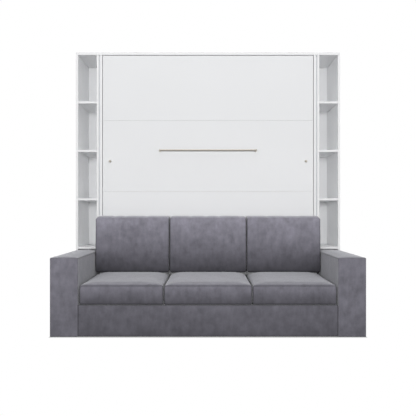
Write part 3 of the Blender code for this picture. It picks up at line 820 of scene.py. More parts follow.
@dataclass
class Padded:
    """A boxed, padded piece: a block, a grid on it, a crown, stuffing, and then its seams."""

    name: str
    node: str
    body: str
    crown: float
    corner: float
    lie: Lie = Lie.FLAT
    finish: Finish = GREY_VELOUR
    fill: float = 0.7
    grid: float = 0.013
    edge_lines: tuple[float, ...] = (0.25, 0.6)
    skin: float = 0.016
    cap: float = 0.010
    sideways: float = 0.3
    pull: float = 0.002
    bulge: Pair = (0.003, 0.003)
    foot_round: float = 0.006
    powers: Triple = (8.0, 10.0, 8.0)
    crown_edge: float = 0.5
    roll: float = 1.0
    corner_lift: float = 0.014
    seam_width: float = 0.0035
    seam_depth: float = 0.0030
    seam_hold: float = 0.018
    # How dark the painted shade in a seam's groove is.
    seam_shade_strength: float = 0.8
    flat_seam: float = 0.0
    lean: float = 0.0
    wrinkle: float = 0.0010
    wrinkle_pitch: float = 0.030
    wrinkle_reach: float = 0.04
    wrinkle_zone: Pair = (0.6, 1.0)
    wrinkle_rise: float = 0.6
    wrinkle_seed: float = 7.0
    dips: tuple[float, ...] = ()
    dip_depth: float = 0.0032
    dip_width: float = 0.055
    dip_zone: Pair = (0.80, 0.97)
    dip_spread: Pair = (1.1, 0.7)
    dip_swing: float = 0.3
    dip_pitch: float = 2.2
    dip_seed: float = 3.0
    puckers: tuple[float, ...] = ()
    pucker_depth: float = 0.0025
    pucker_width: float = 0.009
    pucker_reach: float = 0.030
    pucker_zone: Pair = (0.9, 1.0)
    pucker_side: Pair = (0.80, 0.90)
    foot_share: float = 1.0
    foot_zone: float = 0.9
    held_edge: float = 0.93
    foot_hold: float = 0.012
    corner_hold: float = 0.025
    firmness: float = 0.95
    # Widths of painted shade at the foot, against a neighbour and along the top.
    foot_shade: float = 0.004
    side_shade: float = 0.004
    top_shade: float = 0.0
    # Painted light: colour scale at the foot, at the top, and on faces turned up.
    nap: Triple = (1.0, 1.0, 1.2)
    level_zone: Pair = (0.5, 0.9)
    lean_zone: Pair = (-0.7, 1.1)

    def __post_init__(self) -> None:
        """Read the piece's space from the node it stands for."""
        self.across, self.along, self.through, self.out = self.lie.value
        self.low, self.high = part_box(self.node)
        near, far = self.low[self.through], self.high[self.through]
        self.flat = near if self.out > 0 else far
        self.thickness = far - near - self.crown
        self.seam = self.flat + self.out * self.thickness
        self.middle = (self.low + self.high) / 2
        self.half = (self.high - self.low) / 2

    def shares(self, place: Vector) -> Triple:
        """Where a place is: -1 to 1 across and along, 0 on the flat side to 1 at the seam."""
        return ((place[self.across] - self.middle[self.across]) / self.half[self.across],
                (place[self.along] - self.middle[self.along]) / self.half[self.along],
                (place[self.through] - self.flat) * self.out / self.thickness)

    def inside(self, place: Vector) -> float:
        """How far a place is inside the rounded outline of the crown."""
        beyond = [abs(place[axis] - self.middle[axis]) - self.half[axis] + self.corner
                  for axis in (self.across, self.along)]
        outer = math.hypot(*(max(reach, 0.0) for reach in beyond))
        return self.corner - outer - min(max(beyond), 0.0)

    def dome(self, share: float, power: float) -> float:
        """How much of its crown the piece has at a share of its half width."""
        return max(0.0, 1 - min(1.0, abs(share)) ** power) ** self.crown_edge

    def belly(self, share: float) -> float:
        """The slow part of the crown, from front to rear."""
        return max(0.0, 1 - share ** 2)

    def lines(self, low: float, high: float) -> list[float]:
        """Where the grid's lines lie between two faces, closer near both."""
        count = max(2, round((high - low) / self.grid))
        step = (high - low) / count
        near = [step * share for share in self.edge_lines]
        even = [low + step * number for number in range(1, count)]
        return [low + place for place in near] + even + [high - place for place in reversed(near)]

    def block(self) -> Workpiece:
        """The block up to the seam, with its corners and its foot rounded."""
        low, high = self.low.copy(), self.high.copy()
        if self.out > 0:
            high[self.through] = self.seam
        else:
            low[self.through] = self.seam
        work = Workpiece.block(self.name, low, high)
        through, flat = self.through, self.flat
        work.pick(Pick.EDGES, lambda place, run: abs(run[through]) > ALONG_AXIS)
        work.bevel(self.corner, 5)
        work.pick(Pick.EDGES, lambda place, run: abs(place[through] - flat) < CLOSE)
        work.bevel(self.foot_round, 3)
        for axis in range(3):
            work.slice(axis, self.lines(low[axis], high[axis]))
        return work

    def sculpt(self, place: Vector) -> Vector:
        """Raise the crown, and draw the sides in between the corners."""
        across, along, through = self.shares(place)
        side, front, back = self.powers
        lift = self.crown - self.cap / 2
        rise = min(1.0, self.inside(place) / self.corner_lift)
        rolled = self.dome(along, front if along < 0 else back)
        rise_along = self.roll * rolled + (1 - self.roll) * self.belly(along)
        swell = lift * self.dome(across, side) * rise_along
        if through > 1 - CLOSE and rise > 0:
            place[self.through] += self.out * swell * math.sqrt(rise * (2 - rise))
        arch = 1 - 4 * through * (1 - min(through, 1.0))
        if along < -self.foot_zone:
            arch *= self.foot_share
        for axis, share, other, bulge in ((self.across, across, along, self.bulge[0]),
                                          (self.along, along, across, self.bulge[1])):
            place[axis] -= share * (self.pull * (1 - min(1, other ** 2)) + bulge * arch)
        return place

    def held(self, place: Vector) -> float:
        """Hold the seam round the crown, the corners, and the flat side that the piece rests on."""
        across, along, through = self.shares(place)
        at_side = max(abs(across), abs(along)) > self.held_edge
        at_seam = bell((through - 1) * self.thickness, self.seam_hold) if at_side else 0.0
        at_foot = bell(through * self.thickness, self.foot_hold)
        at_corner = bell(math.hypot((1 - abs(across)) * self.half[self.across],
                                    (1 - abs(along)) * self.half[self.along]), self.corner_hold)
        return min(1.0, max(at_seam, at_foot, at_corner) * self.firmness)

    def crease(self, place: Vector) -> Vector:
        """Gather the cloth at the seam: fine folds square to it, and a few deeper dips."""
        across, along, through = self.shares(place)
        edge = max(0.0, self.inside(place))
        run = place[self.along] if abs(across) > abs(along) else place[self.across]
        fold = noise.noise(Vector((run / self.wrinkle_pitch, self.low.x * self.wrinkle_seed,
                                   through * self.wrinkle_rise)))
        near = bell(edge, self.wrinkle_reach) * smooth_rise(*self.wrinkle_zone, through)
        place[self.through] += self.out * self.wrinkle * fold * near
        if self.dips:
            top = (smooth_rise(*self.dip_zone, along)
                   * smooth_rise(*self.dip_spread, abs(through - 0.5) * 2))
            dip = sum(bell(across - share, self.dip_width) for share in self.dips)
            swing = self.dip_swing * noise.noise(Vector((
                across * self.dip_pitch, self.low.x * self.dip_seed, 0)))
            place[self.along] -= top * self.dip_depth * (dip + swing)
        for share in self.puckers:
            drawn = bell((along - share) * self.half[self.along], self.pucker_width)
            near = bell(edge, self.pucker_reach) * smooth_rise(*self.pucker_zone, through)
            at_side = smooth_rise(*self.pucker_side, abs(across))
            place[self.through] -= self.out * self.pucker_depth * drawn * near * at_side
        return place

    def fit(self, work: Workpiece) -> None:
        """Bring the blown piece back to exactly its own space."""
        points = [point.co for point in work.obj.data.vertices]
        low = Vector(min(place[axis] for place in points) for axis in range(3))
        high = Vector(max(place[axis] for place in points) for axis in range(3))

        def stretch(place: Vector) -> Vector:
            """Map the piece's box to the node's."""
            return Vector(self.low[axis] + (place[axis] - low[axis])
                          * (self.high[axis] - self.low[axis]) / (high[axis] - low[axis])
                          for axis in range(3))
        work.move_points(stretch)

    def tilt(self, place: Vector) -> Vector:
        """Lean the crown back towards the top."""
        _, along, through = self.shares(place)
        place[self.through] -= (self.out * self.lean * min(1.0, max(0.0, through))
                                * smooth_rise(*self.lean_zone, along))
        return place

    def seam_places(self) -> tuple[float, ...]:
        """Where the seams lie along the axis through the piece."""
        rear = (self.flat + self.out * self.flat_seam,) if self.flat_seam else ()
        return (self.seam, *rear)

    def on_seam(self, place: Vector, normal: Vector) -> bool:
        """Whether a point of a cut line is sewn down."""
        return abs(normal[self.through]) < ALONG_AXIS

    def sew(self, work: Workpiece) -> None:
        """Cut each seam into the cover and press it in, and mark it for the finish."""
        for place in self.seam_places():
            work.slice(self.through, [place + step * self.seam_width for step in (-1, 0, 1)])
            work.pick(Pick.POINTS, lambda spot, normal: (
                abs(spot[self.through] - place) < self.seam_width * 0.1
                and self.on_seam(spot, normal)))
            work.shrink(self.seam_depth)
        for name, rule in (("seam", self.painted_shade_mark), ("nap", self.painted_light_mark)):
            mark = work.obj.data.attributes.new(name, "FLOAT", "POINT")
            mark.data.foreach_set("value", [rule(point.co, point.normal)
                                            for point in work.obj.data.vertices])

    def painted_shade_mark(self, spot: Vector, normal: Vector) -> float:
        """How dark the cloth is: fully on a seam, at its foot and against a neighbour."""
        marks = [0.0]
        if self.on_seam(spot, normal):
            marks += [bell(spot[self.through] - place, self.seam_width) * self.seam_shade_strength
                      for place in self.seam_places()]
        side = min(spot.x - self.low.x, self.high.x - spot.x)
        for distance, width in ((spot.z - self.low.z, self.foot_shade), (side, self.side_shade),
                                (self.high.z - spot.z, self.top_shade)):
            if width:
                marks.append(bell(distance, width))
        return max(marks)

    def painted_light_mark(self, spot: Vector, normal: Vector) -> float:
        """How light the brushed pile is: at the foot, at the top, and where it faces up."""
        foot, top, level = self.nap
        upright = foot + (top - foot) * (spot.z - self.low.z) / (self.high.z - self.low.z)
        return upright + (level - upright) * smooth_rise(*self.level_zone, normal.z)

    def build(self) -> bpy.types.Object:
        """Make the piece and set it in place of its node."""
        work = self.block()
        work.move_points(self.sculpt)
        Stuffing(self.cap, self.sideways, self.skin).fill(work, self.through, self.held)
        work.modify("SUBSURF", levels=1, render_levels=1)
        work.move_points(self.crease)
        self.fit(work)
        self.sew(work)
        if self.lean:
            work.move_points(self.tilt)
        made = work.finish(self.body, self.finish, self.node)
        return made


@dataclass
class Arm(Padded):
    """A box arm: straight sides up to a seam, and a low padded top that wraps over the front."""

    crown: float = 0.012
    corner: float = 0.005
    cap: float = 0.004
    sideways: float = 0.0
    roll: float = 0.35
    pull: float = 0.0
    bulge: Pair = (0.0, 0.0)
    foot_round: float = 0.003
    powers: Triple = (2.4, 12.0, 8.0)
    wrinkle: float = 0.0005
    seam_width: float = 0.0065
    seam_depth: float = 0.0035
    seam_hold: float = 0.010
    seam_shade_strength: float = 1.0
    fill: float = 0.9
    seam_drop: float = 0.6
    seam_facing: float = 0.4
    front_round: float = 0.016
    # No painted shade at the sides; painted light darker low and lighter high.
    side_shade: float = 0.0
    nap: Triple = (0.78, 1.08, 1.05)

    def block(self) -> Workpiece:
        """The block with its upper front edge well rounded, as the cloth wraps over it."""
        work = super().block()
        top, front = self.seam - self.front_round, self.low.y + self.front_round

        def wrap(place: Vector) -> Vector:
            """Bring a place beyond the rounding on to it."""
            rise, reach = place.z - top, front - place.y
            far = math.hypot(rise, reach)
            if rise > 0 and reach > 0 and far > self.front_round:
                place.z = top + rise * self.front_round / far
                place.y = front - reach * self.front_round / far
            return place
        return work.move_points(wrap)

    def belly(self, share: float) -> float:
        """The top rises behind the front, and stays up to the rear."""
        return 1 - min(share, 0.0) ** 2

    def seam_places(self) -> tuple[float, ...]:
        """One seam, just under the top."""
        return (self.seam - self.seam_width * self.seam_drop,)

    def on_seam(self, place: Vector, normal: Vector) -> bool:
        """The seam runs along the two long sides only."""
        return abs(normal.x) > self.seam_facing


@dataclass
class SeatPad(Padded):
    """A seat cushion: a firm rolled front, and a top that climbs evenly to the back cushion."""

    crown: float = 0.040
    corner: float = 0.008
    powers: Triple = (10.0, 26.0, 4.0)
    roll: float = 0.46
    cap: float = 0.006
    corner_lift: float = 0.010
    bulge: Pair = (0.001, 0.006)
    seam_width: float = 0.0028
    seam_depth: float = 0.0025
    foot_round: float = 0.005
    # Painted shade at the foot, the sides and under the back cushion, and painted light by height
    # and facing.
    foot_shade: float = 0.009
    side_shade: float = 0.006
    rear_shade: float = 0.012
    nap: Triple = (0.42, 1.26, 1.2)
    fill: float = 0.8
    climb: float = 1.4
    rear_drop: float = 0.5

    def belly(self, share: float) -> float:
        """An even climb from the front, and a drop where the back cushion presses."""
        return (min(1.0, (share + 1) / self.climb)
                - self.rear_drop * smooth_rise(self.climb - 1, 1, share))

    def __post_init__(self) -> None:
        """Find where the back cushions stand too."""
        super().__post_init__()
        self.back_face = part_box("back_cushion_middle")[0].y

    def painted_shade_mark(self, spot: Vector, normal: Vector) -> float:
        """Dark under the back cushion too, where no light gets in."""
        return max(super().painted_shade_mark(spot, normal),
                   smooth_rise(-self.rear_shade, 0, spot.y - self.back_face))


@dataclass
class FrontPanel(Padded):
    """The upholstered board below the seat, with a soft upper edge."""

    crown: float = 0.0
    corner: float = 0.003
    lie: Lie = Lie.UPRIGHT
    cap: float = 0.0015
    sideways: float = 0.0
    pull: float = 0.0
    wrinkle: float = 0.0004
    fill: float = 0.9
    top_round: float = 0.011
    # Painted shade at the sides and along the top edge under the seat, and painted light by height
    # and facing.
    side_shade: float = 0.005
    top_shade: float = 0.0035
    nap: Triple = (0.50, 0.76, 0.9)

    def block(self) -> Workpiece:
        """A block whose upper front edge is well rounded, and the others a little."""
        work = Workpiece.block(self.name, self.low, self.high)
        low, high = self.low, self.high
        work.pick(Pick.EDGES, lambda place, run: abs(run.x) > ALONG_AXIS
                  and place.z > high.z - CLOSE and place.y < low.y + CLOSE)
        work.bevel(self.top_round, 5)
        work.pick(Pick.EDGES, lambda place, run: place.y < low.y + CLOSE
                  and place.z < high.z - self.top_round * 1.1)
        work.bevel(self.corner, 2)
        for axis in range(3):
            work.slice(axis, self.lines(low[axis], high[axis]))
        return work

    def sculpt(self, place: Vector) -> Vector:
        """Leave the board as it is cut."""
        return place

    def seam_places(self) -> tuple[float, ...]:
        """Its cloth is stapled behind, so no seam shows."""
        return ()


@dataclass
class Mattress(Padded):
    """A foam mattress in a quilted cover, with a taped edge round both faces."""

    lie: Lie = Lie.BEHIND
    finish: Finish = TICKING
    crown: float = 0.004
    corner: float = 0.05
    grid: float = 0.022
    skin: float = 0.034
    cap: float = 0.007
    flat_seam: float = 0.008
    pull: float = 0.0
    bulge: Pair = (0.0, 0.0)
    wrinkle: float = 0.0
    fill: float = 0.9
    foot_shade: float = 0.0
    side_shade: float = 0.0
    quilt: float = 0.26
    stitch: float = 0.016
    quilt_rise: float = 0.06
    face_skin: float = 0.02
    face_edge: float = 0.03
    border_hold: float = 0.98
    tape_radius: float = 0.0045
    tape_inset: float = 0.004

    def quilting(self, place: Vector) -> float:
        """How near a place is to a line of the diamond quilting, 0 to 1."""
        nearest = self.quilt
        for slant in (1, -1):
            along = (place.x + slant * place.z) % self.quilt
            nearest = min(nearest, along, self.quilt - along)
        return bell(nearest, self.stitch)

    def sculpt(self, place: Vector) -> Vector:
        """Press the quilting lines into both faces."""
        through = self.shares(place)[2]
        depth = self.cap * self.quilting(place) * smooth_rise(
            0.0, self.quilt_rise, self.inside(place))
        place.y += depth * (smooth_rise(self.face_skin, 0.0, through)
                            - smooth_rise(1 - self.face_skin, 1.0, through))
        return place

    def held(self, place: Vector) -> float:
        """Hold the quilting lines, the borders' edges and the corners."""
        across, along, through = self.shares(place)
        on_face = through > 1 - self.face_edge or through < self.face_edge
        in_field = max(abs(across), abs(along)) < 1 - self.face_edge
        return self.quilting(place) if on_face and in_field else self.border_hold

    def seam_places(self) -> tuple[float, ...]:
        """A seam under each taped edge."""
        return (self.seam - self.flat_seam, self.flat + self.flat_seam)

    def tape(self, place: float, word: str) -> None:
        """The tape round one face: a rounded outline made into a thin tube."""
        low, high = self.low.copy(), self.high.copy()
        for axis in (0, 2):
            low[axis] += self.tape_inset
            high[axis] -= self.tape_inset
        low.y, high.y = place, place + self.tape_inset
        work = Workpiece.block("mattress_tape_" + word, low, high)
        work.pick(Pick.EDGES, lambda spot, run: abs(run.y) > ALONG_AXIS).bevel(self.corner, 6)
        work.pick(Pick.POINTS, lambda spot, normal: spot.y > place + self.tape_inset / 2)
        work.delete("VERT").all().delete("ONLY_FACE").take_up()
        bpy.ops.object.convert(target="CURVE")
        work.obj.data.bevel_depth = self.tape_radius
        work.obj.data.bevel_resolution = 3
        bpy.ops.object.convert(target="MESH")
        work.outward().finish(self.body, TAPE)

    def build(self) -> bpy.types.Object:
        """Make the mattress, and tape its edges."""
        made = super().build()
        self.tape(self.flat + self.tape_radius, "front")
        self.tape(self.seam - self.tape_radius, "back")
        return made


@dataclass
class BackPad(Padded):
    """A loose back cushion: plump, leaning back, with dips in its top edge and drawn corners."""

    crown: float = 0.018
    corner: float = 0.020
    lie: Lie = Lie.UPRIGHT
    fill: float = 0.65
    cap: float = 0.012
    sideways: float = 0.05
    pull: float = 0.0
    bulge: Pair = (0.0, 0.014)
    foot_round: float = 0.004
    foot_share: float = 0.1
    powers: Triple = (5.0, 3.0, 2.2)
    seam_depth: float = 0.002
    flat_seam: float = 0.012
    lean: float = 0.012
    wrinkle: float = 0.0018
    # Painted shade at the foot and the sides, and painted light by height and facing.
    foot_shade: float = 0.014
    side_shade: float = 0.005
    nap: Triple = (0.32, 1.68, 1.4)


@dataclass
class Sofa:
    """Arms, front panel, and three seat and three back cushions."""

    dips: ClassVar[dict[Seat, tuple[float, ...]]] = {
        Seat.LEFT: (-0.52, -0.22, 0.36), Seat.MIDDLE: (-0.47, -0.05, 0.28, 0.86),
        Seat.RIGHT: (-0.44, 0.08, 0.42)}
    puckers: ClassVar[dict[Seat, tuple[float, ...]]] = {
        Seat.LEFT: (-0.45, 0.12, 0.62), Seat.MIDDLE: (-0.32, 0.30), Seat.RIGHT: (-0.5, 0.05, 0.55)}

    def build(self) -> None:
        """Upholster the whole sofa."""
        # The seat frame is painted near black, as shade in the cushion gaps.
        GAP_SHADE_PLY.dress("sofa_seat_frame")
        for side in Side:
            Arm("arm_upholstery_" + side.word, "sofa_arm_" + side.word, "cabinet").build()
        FrontPanel("front_panel_upholstery", "sofa_front_panel", "cabinet").build()
        for seat in Seat:
            SeatPad("seat_pad_" + seat.value, "seat_cushion_" + seat.value, "cabinet").build()
            BackPad("back_pad_" + seat.value, "back_cushion_" + seat.value,
                    "back_cushion_body_" + seat.value, dips=self.dips[seat],
                    puckers=self.puckers[seat]).build()


def fasteners(name: str, body: str, spots: Iterable[Vector], facing: Vector,
              rings: tuple[Pair, ...], sides: int) -> None:
    """Zinc heads of one kind, all in one piece.

    Args:
        name: The piece's name.
        body: The body that it rides on.
        spots: Where each head sits.
        facing: Which way the heads look.
        rings: The (radius, place along the axis) of a head's rings.
        sides: The faces round a head.
    """
    first, *others = [Workpiece.turned(name, spot, facing, rings, sides) for spot in spots]
    first.join(others).finish(body, ZINC)


@dataclass
class Cabinet:
    """The carcass, the two shelf towers, and the screws that hold their backs."""

    shelves: int = 4
    screw_radius: float = 0.004
    screw_height: float = 0.0005
    screw_pitch: float = 0.27
    screw_inset: float = 0.009

    def boards(self) -> list[str]:
        """Every white board of the cabinet."""
        names = ["top_board", "bed_back_panel", "bed_bottom_board", "bed_plinth"]
        for side in Side:
            names += ["bed_side_" + side.word, "tower_inner_side_" + side.word,
                      "tower_outer_side_" + side.word, "tower_back_" + side.word,
                      "tower_bottom_" + side.word]
            names += ["tower_shelf_%s_%d" % (side.word, number + 1)
                      for number in range(self.shelves)]
        return names

    def screws(self) -> None:
        """Countersunk heads along the edges of the three backs."""
        radius, height = self.screw_radius, self.screw_height
        rings = ((radius, -height), (radius, 0), (radius * 0.9, height), (radius * 0.45, height),
                 (radius * 0.3, -height / 2))
        for name in ("bed_back_panel", "tower_back_left", "tower_back_right"):
            low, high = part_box(name)
            rise = high.z - low.z - 2 * self.screw_inset
            count = round(rise / self.screw_pitch)
            spots = [Vector((x, high.y, low.z + self.screw_inset + rise * step / count))
                     for x in (low.x + self.screw_inset, high.x - self.screw_inset)
                     for step in range(count + 1)]
            fasteners(name + "_screws", "cabinet", spots, (0, 1, 0), rings, 12)

    def build(self) -> None:
        """Dress the boards and drive the screws."""
        WHITE_BOARD.dress(*self.boards())
        SPACER_BOARD.dress(*("spacer_" + side.word for side in Side))
        self.screws()


@dataclass
class Handle:
    """The long bar on the door, between two posts that stand on small roses."""

    end_round: float = 0.0012
    rose_radius: float = 0.0105
    rose_height: float = 0.003
    rose_edge: float = 0.6
    bar_share: float = 0.8
    cap_groove: float = 0.0006
    groove_rounds: Triple = (3.0, 2.6, 2.2)

    def build(self) -> None:
        """Turn the bar and the posts, and fuse them."""
        low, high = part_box("handle")
        post = (high.z - low.z) / 2
        middle = (low.z + high.z) / 2
        bar_y = low.y + post
        bar_radius = post * self.bar_share
        door = high.y
        inner = high.x - post
        bar = Workpiece.turned("handle_bar", (-inner, bar_y, middle), (1, 0, 0), (
            (bar_radius, 0), (bar_radius, 2 * inner)))
        reach = door - low.y
        before, bottom, behind = (reach - self.end_round * share for share in self.groove_rounds)
        rings = ((self.rose_radius, 0), (self.rose_radius, self.rose_height * self.rose_edge),
                 (post, self.rose_height), (post, before), (post - self.cap_groove, bottom),
                 (post, behind), (post, reach - self.end_round), (post - self.end_round, reach))
        for side in Side:
            foot = Vector((side.value * inner, door, middle))
            bar.unite(Workpiece.turned("post", foot, (0, -1, 0), rings))
        bar.finish("bed", NICKEL, "handle")


@dataclass
class Leg:
    """One telescopic leg: its foot is the knob on the door, with a groove round its edge."""

    side: Side
    groove: float = 0.0008
    tube_share: float = 0.77
    cap_gap: float = 0.0003
    profile: tuple[Triple, ...] = (
        (1, 0, 0.38), (1, 1, 0.40), (1, 1, 0.48), (1, 0, 0.50), (1, 0, 0.72), (0.93, 0, 0.88),
        (0.76, 0, 0.97), (0.5, 0, 1))

    def build(self) -> None:
        """Dress the tubes, and turn the foot.

        Each row of the profile holds shares of the radius, the groove and the cap's length.
        """
        word = self.side.word
        ZINC.dress("leg_sleeve_" + word, "leg_outer_tube_" + word)
        low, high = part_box("leg_foot_tube_" + word)
        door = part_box("door_panel_3")[0].y
        radius = (high.x - low.x) / 2
        centre = Vector(((low.x + high.x) / 2, door, (low.z + high.z) / 2))
        cap = door - low.y
        tube = radius * self.tube_share
        Workpiece.turned("leg_foot_" + word, centre, (0, -1, 0), (
            (tube, door - high.y), (tube, self.cap_gap), (radius, self.cap_gap),
            *((radius * size - self.groove * cut, cap * place)
              for size, cut, place in self.profile))).finish(
                  "leg_foot_" + word, NICKEL, "leg_foot_tube_" + word)


@dataclass
class Mechanism:
    """Hinge bracket, bed plate and gas strut of one side, with their small fittings."""

    side: Side
    plate_thickness: float = 0.003
    bolt_radius: float = 0.005
    bolt_height: float = 0.0022
    bolt_inset: float = 0.014
    bolt_margin: float = 0.03
    bolt_heights: Pair = (0.62, 0.84)
    plate_bolt_rise: float = 0.009
    plate_bolt_shares: Pair = (0.3, 0.7)
    bush_radius: float = 0.009
    bush_gap: float = 0.0006
    bush_edge: float = 0.001
    flange_share: float = 1.25
    flange_gaps: Triple = (0.002, 0.0015, 0.0003)
    collar_radius: float = 0.0108
    collar_length: float = 0.014
    collar_edges: Triple = (-0.0015, 0.0005, 0.001)

    def bolts(self, name: str, body: str, spots: Iterable[Vector], facing: Vector) -> None:
        """Round-headed bolts with a socket, all in one piece."""
        head, rise = self.bolt_radius, self.bolt_height
        fasteners(name, body, spots, facing, (
            (head, 0), (head, rise * 0.5), (head * 0.8, rise * 0.9), (head * 0.45, rise),
            (head * 0.42, rise * 0.3)), 16)

    def build(self) -> None:
        """Dress the nodes of the mechanism, and add bolts, bush and collar."""
        word, sign = self.side.word, self.side.value
        ZINC.dress("hinge_bracket_" + word, "bed_plate_" + word)
        BLACK_PAINT.dress("strut_cylinder_" + word)
        CHROME.dress("strut_rod_" + word)
        pin = joint_place("bed_fold")
        top = joint_place("strut_swing_" + word)
        low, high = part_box("hinge_bracket_" + word)
        wall = max(abs(low.x), abs(high.x)) - self.plate_thickness
        spots = [Vector((sign * wall, high.y - self.bolt_inset, z))
                 for z in (low.z + self.bolt_margin, *self.bolt_heights, high.z - self.bolt_margin)]
        self.bolts("bracket_bolts_" + word, "cabinet", spots, Vector((-sign, 0, 0)))
        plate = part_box("bed_plate_" + word)
        outer = min(abs(corner.x) for corner in plate) + self.plate_thickness
        lower = plate[0].z + self.plate_bolt_rise
        spots = [Vector((sign * outer, pin.y + (top.y - pin.y) * share,
                         pin.z + (lower - pin.z) * share)) for share in self.plate_bolt_shares]
        self.bolts("plate_bolts_" + word, "bed", spots, Vector((sign, 0, 0)))
        start, bush = outer + self.bush_gap, self.bush_radius
        neck, flange, face = (wall - start - gap for gap in self.flange_gaps)
        Workpiece.turned("pivot_bush_" + word, (sign * start, pin.y, pin.z), (sign, 0, 0), (
            (bush * 0.9, 0), (bush, self.bush_edge), (bush, neck),
            (bush * self.flange_share, flange), (bush * self.flange_share, face))).finish(
                "cabinet", NYLON)
        end = Vector((top.x, top.y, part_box("strut_cylinder_" + word)[0].z))
        collar, length = self.collar_radius, self.collar_length
        foot, edge, rounding = self.collar_edges
        Workpiece.turned("strut_collar_" + word, end, (0, 0, 1), (
            (collar * 0.8, foot), (collar, edge), (collar, length),
            (collar * 0.86, length + rounding))).finish(
                "strut_cylinder_body_" + word, BLACK_PAINT)


@dataclass
class Bed:
    """The door, the frame behind it, the mattress and its two straps."""

    panels: int = 4
    strap_width: float = 0.05
    strap_thickness: float = 0.0022
    strap_over: float = 0.0022
    strap_bend: float = 0.022
    strap_cut: float = 0.3
    strap_edge: float = 0.0006
    strap_heights: tuple[float, ...] = (0.62, 1.68)

    def strap(self, height: float, word: str) -> None:
        """A webbing band over the mattress, down to the slats on each side."""
        low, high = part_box("mattress")
        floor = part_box("bed_slat_platform")[1].y
        side = high.x + self.strap_over
        top = high.y + self.strap_over
        bend, cut = self.strap_bend, self.strap_bend * self.strap_cut
        path = [(-side, floor), (-side, top - bend), (-side + cut, top - cut), (-side + bend, top),
                (side - bend, top), (side - cut, top - cut), (side, top - bend), (side, floor)]
        half = self.strap_width / 2
        bpy.ops.object.select_all(action="DESELECT")
        bpy.ops.mesh.primitive_plane_add(size=1)
        work = Workpiece("mattress_strap_" + word)
        work.pick(Pick.POINTS, lambda place, normal: place.x > 0).delete("VERT")
        for point, z in zip(work.obj.data.vertices, (height - half, height + half)):
            point.co = (*path[0], z)
        for before, after in zip(path, path[1:]):
            work.pick(Pick.EDGES, lambda place, run: abs(run.z) > ALONG_AXIS
                      and (place - Vector((*before, height))).length < CLOSE)
            work.extrude(Vector((after[0] - before[0], after[1] - before[1], 0)))
        work.modify("SOLIDIFY", thickness=self.strap_thickness, offset=0)
        work.modify("BEVEL", width=self.strap_edge, segments=2, limit_method="ANGLE")
        work.outward().finish("bed", WEBBING)

    def build(self) -> None:
        """Dress the frame and door, and add the soft goods."""
        WHITE_GLOSS.dress(*("door_panel_%d" % (number + 1) for number in range(self.panels)))
        WHITE_BOARD.dress("bed_rail_left", "bed_rail_right", "bed_head_rail", "bed_foot_rail")
        BIRCH_PLY.dress("bed_slat_platform")
        Mattress("quilted_mattress", "mattress", "bed").build()
        for number, height in enumerate(self.strap_heights):
            self.strap(height, ("head", "foot")[number])
        Handle().build()
        for side in Side:
            Leg(side).build()
            Mechanism(side).build()


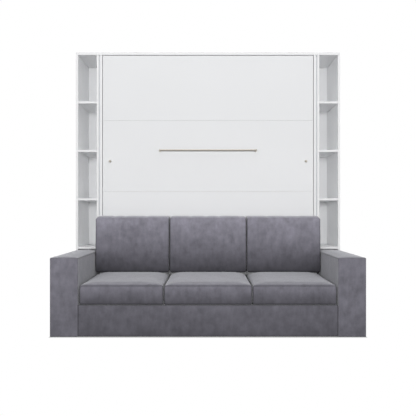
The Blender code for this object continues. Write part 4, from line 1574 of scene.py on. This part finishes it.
@dataclass
class Studio:
    """A pale floor, soft lamps from above and in front, and the photograph's camera."""

    lens: float = 50.0
    sensor: float = 36.0
    distance: float = 4.815
    eye_height: float = 0.861
    horizon_drop: float = 5.0
    frame_width: float = 416.0
    ambient: float = 0.17
    bounce_colour: Colour = (0.60, 0.60, 0.60)
    floor_colour: Colour = (0.93, 0.93, 0.93)
    shadow: float = 0.010
    shadow_fade: float = 0.02
    side_haste: float = 8.0
    floor_width: float = 400.0
    floor_drop: float = 0.0005

    def seen_directly(self, recipe: Recipe) -> Wire:
        """1 for rays that show a background: from the camera, mirrored or through glass."""
        shown = recipe.node("ShaderNodeLightPath", outlet="Is Camera Ray")
        for name in ("Is Glossy Ray", "Is Transmission Ray"):
            shown = shown.greatest(recipe.node("ShaderNodeLightPath", outlet=name))
        return shown

    def floor(self) -> None:
        """A wide floor that throws little light back. It shows white, with a shadow at the foot."""
        bpy.ops.object.select_all(action="DESELECT")
        place = (0, 0, -self.floor_drop)
        bpy.ops.mesh.primitive_plane_add(size=self.floor_width, location=place)
        ground = Workpiece("floor").obj
        recipe = Recipe("pale_floor")
        recipe.surface(Base_Color=self.bounce_colour, Roughness=0.9)
        plain = Wire(recipe, recipe.tree.nodes["Principled BSDF"].outputs[0])
        paint = recipe.node("ShaderNodeBsdfDiffuse", {}, {"Color": self.floor_colour})
        glow = recipe.node("ShaderNodeEmission", {}, {"Color": (1, 1, 1), "Strength": 1.0})
        low, high = cad_box
        aside = (abs(recipe.place(0)) - high[0]) * self.side_haste
        beyond = aside.greatest(low[1] - recipe.place(1)) - self.shadow
        clear = recipe.node("ShaderNodeClamp", {}, {0: beyond / self.shadow_fade})
        white = recipe.node("ShaderNodeMixShader", {}, {0: clear, 1: paint, 2: glow})
        mixed = recipe.node("ShaderNodeMixShader", {}, {
            0: self.seen_directly(recipe), 1: plain, 2: white})
        recipe.show("Material Output", mixed)
        ground.data.materials.append(recipe.material)

    def world(self) -> None:
        """A white surround that lights the object only at a plain level."""
        world = bpy.data.worlds.new("surround")
        bpy.context.scene.world = world
        world.use_nodes = True
        recipe = Recipe("surround", world.node_tree)
        shown = self.seen_directly(recipe)
        dim, white = (recipe.node("ShaderNodeBackground", {}, {
            "Color": (1, 1, 1), "Strength": strength}) for strength in (self.ambient, 1.0))
        mixed = recipe.node("ShaderNodeMixShader", {}, {0: shown, 1: dim, 2: white})
        recipe.show("World Output", mixed)

    @staticmethod
    def hang(name: str, data: bpy.types.ID, place: Triple) -> bpy.types.Object:
        """Put a lamp or a camera into the scene."""
        thing = bpy.data.objects.new(name, data)
        bpy.context.scene.collection.objects.link(thing)
        thing.location = place
        return thing

    def lamp(self, name: str, place: Triple, aim: Triple, size: Pair, power: float,
             mirrored: bool = True) -> None:
        """One soft rectangular lamp.

        Args:
            name: What it is called.
            place: Where it hangs.
            aim: The place it looks at.
            size: Its width and height.
            power: Its strength in watts.
            mirrored: Whether gloss shows it.
        """
        data = bpy.data.lights.new(name, "AREA")
        data.shape = "RECTANGLE"
        data.size, data.size_y = size
        data.energy = power
        lamp = self.hang(name, data, place)
        lamp.visible_glossy = mirrored
        lamp.rotation_euler = (Vector(aim) - Vector(place)).to_track_quat("-Z", "Y").to_euler()

    def camera(self) -> None:
        """The photograph's straight front view."""
        data = bpy.data.cameras.new("camera")
        data.lens = self.lens
        data.sensor_width = self.sensor
        data.shift_y = self.horizon_drop / self.frame_width
        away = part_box("door_panel_3")[0].y - self.distance
        camera = self.hang("camera", data, (0, away, self.eye_height))
        camera.rotation_euler = (math.pi / 2, 0, 0)
        bpy.context.scene.camera = camera

    def build(self) -> None:
        """Set up floor, surround, lamps and camera."""
        self.floor()
        self.world()
        self.lamp("overhead", (0, -1.6, 5.0), (0, -0.3, 0.6), (4.5, 2.4), 45)
        self.lamp("high_front", (0, -4.2, 5.2), (0, 0, 0.9), (4.5, 2.4), 30)
        self.lamp("far_strip", (0, -12.0, 1.9), (0, 0, 1.2), (11.0, 2.0), 1290,
                  mirrored=False)
        for side in Side:
            self.lamp("cross_" + side.word, (side.value * 6.0, -8.5, 2.0),
                      (-side.value * 0.8, 0, 1.3), (2.0, 2.4), 50, mirrored=False)
        self.camera()
        bpy.context.scene.view_settings.view_transform = "Standard"


def main() -> None:
    """Dress the whole object, and light it."""
    logging.basicConfig(level=logging.INFO, format="%(message)s")
    Cabinet().build()
    Bed().build()
    Sofa().build()
    Studio().build()


if __name__ == "__main__":
    main()
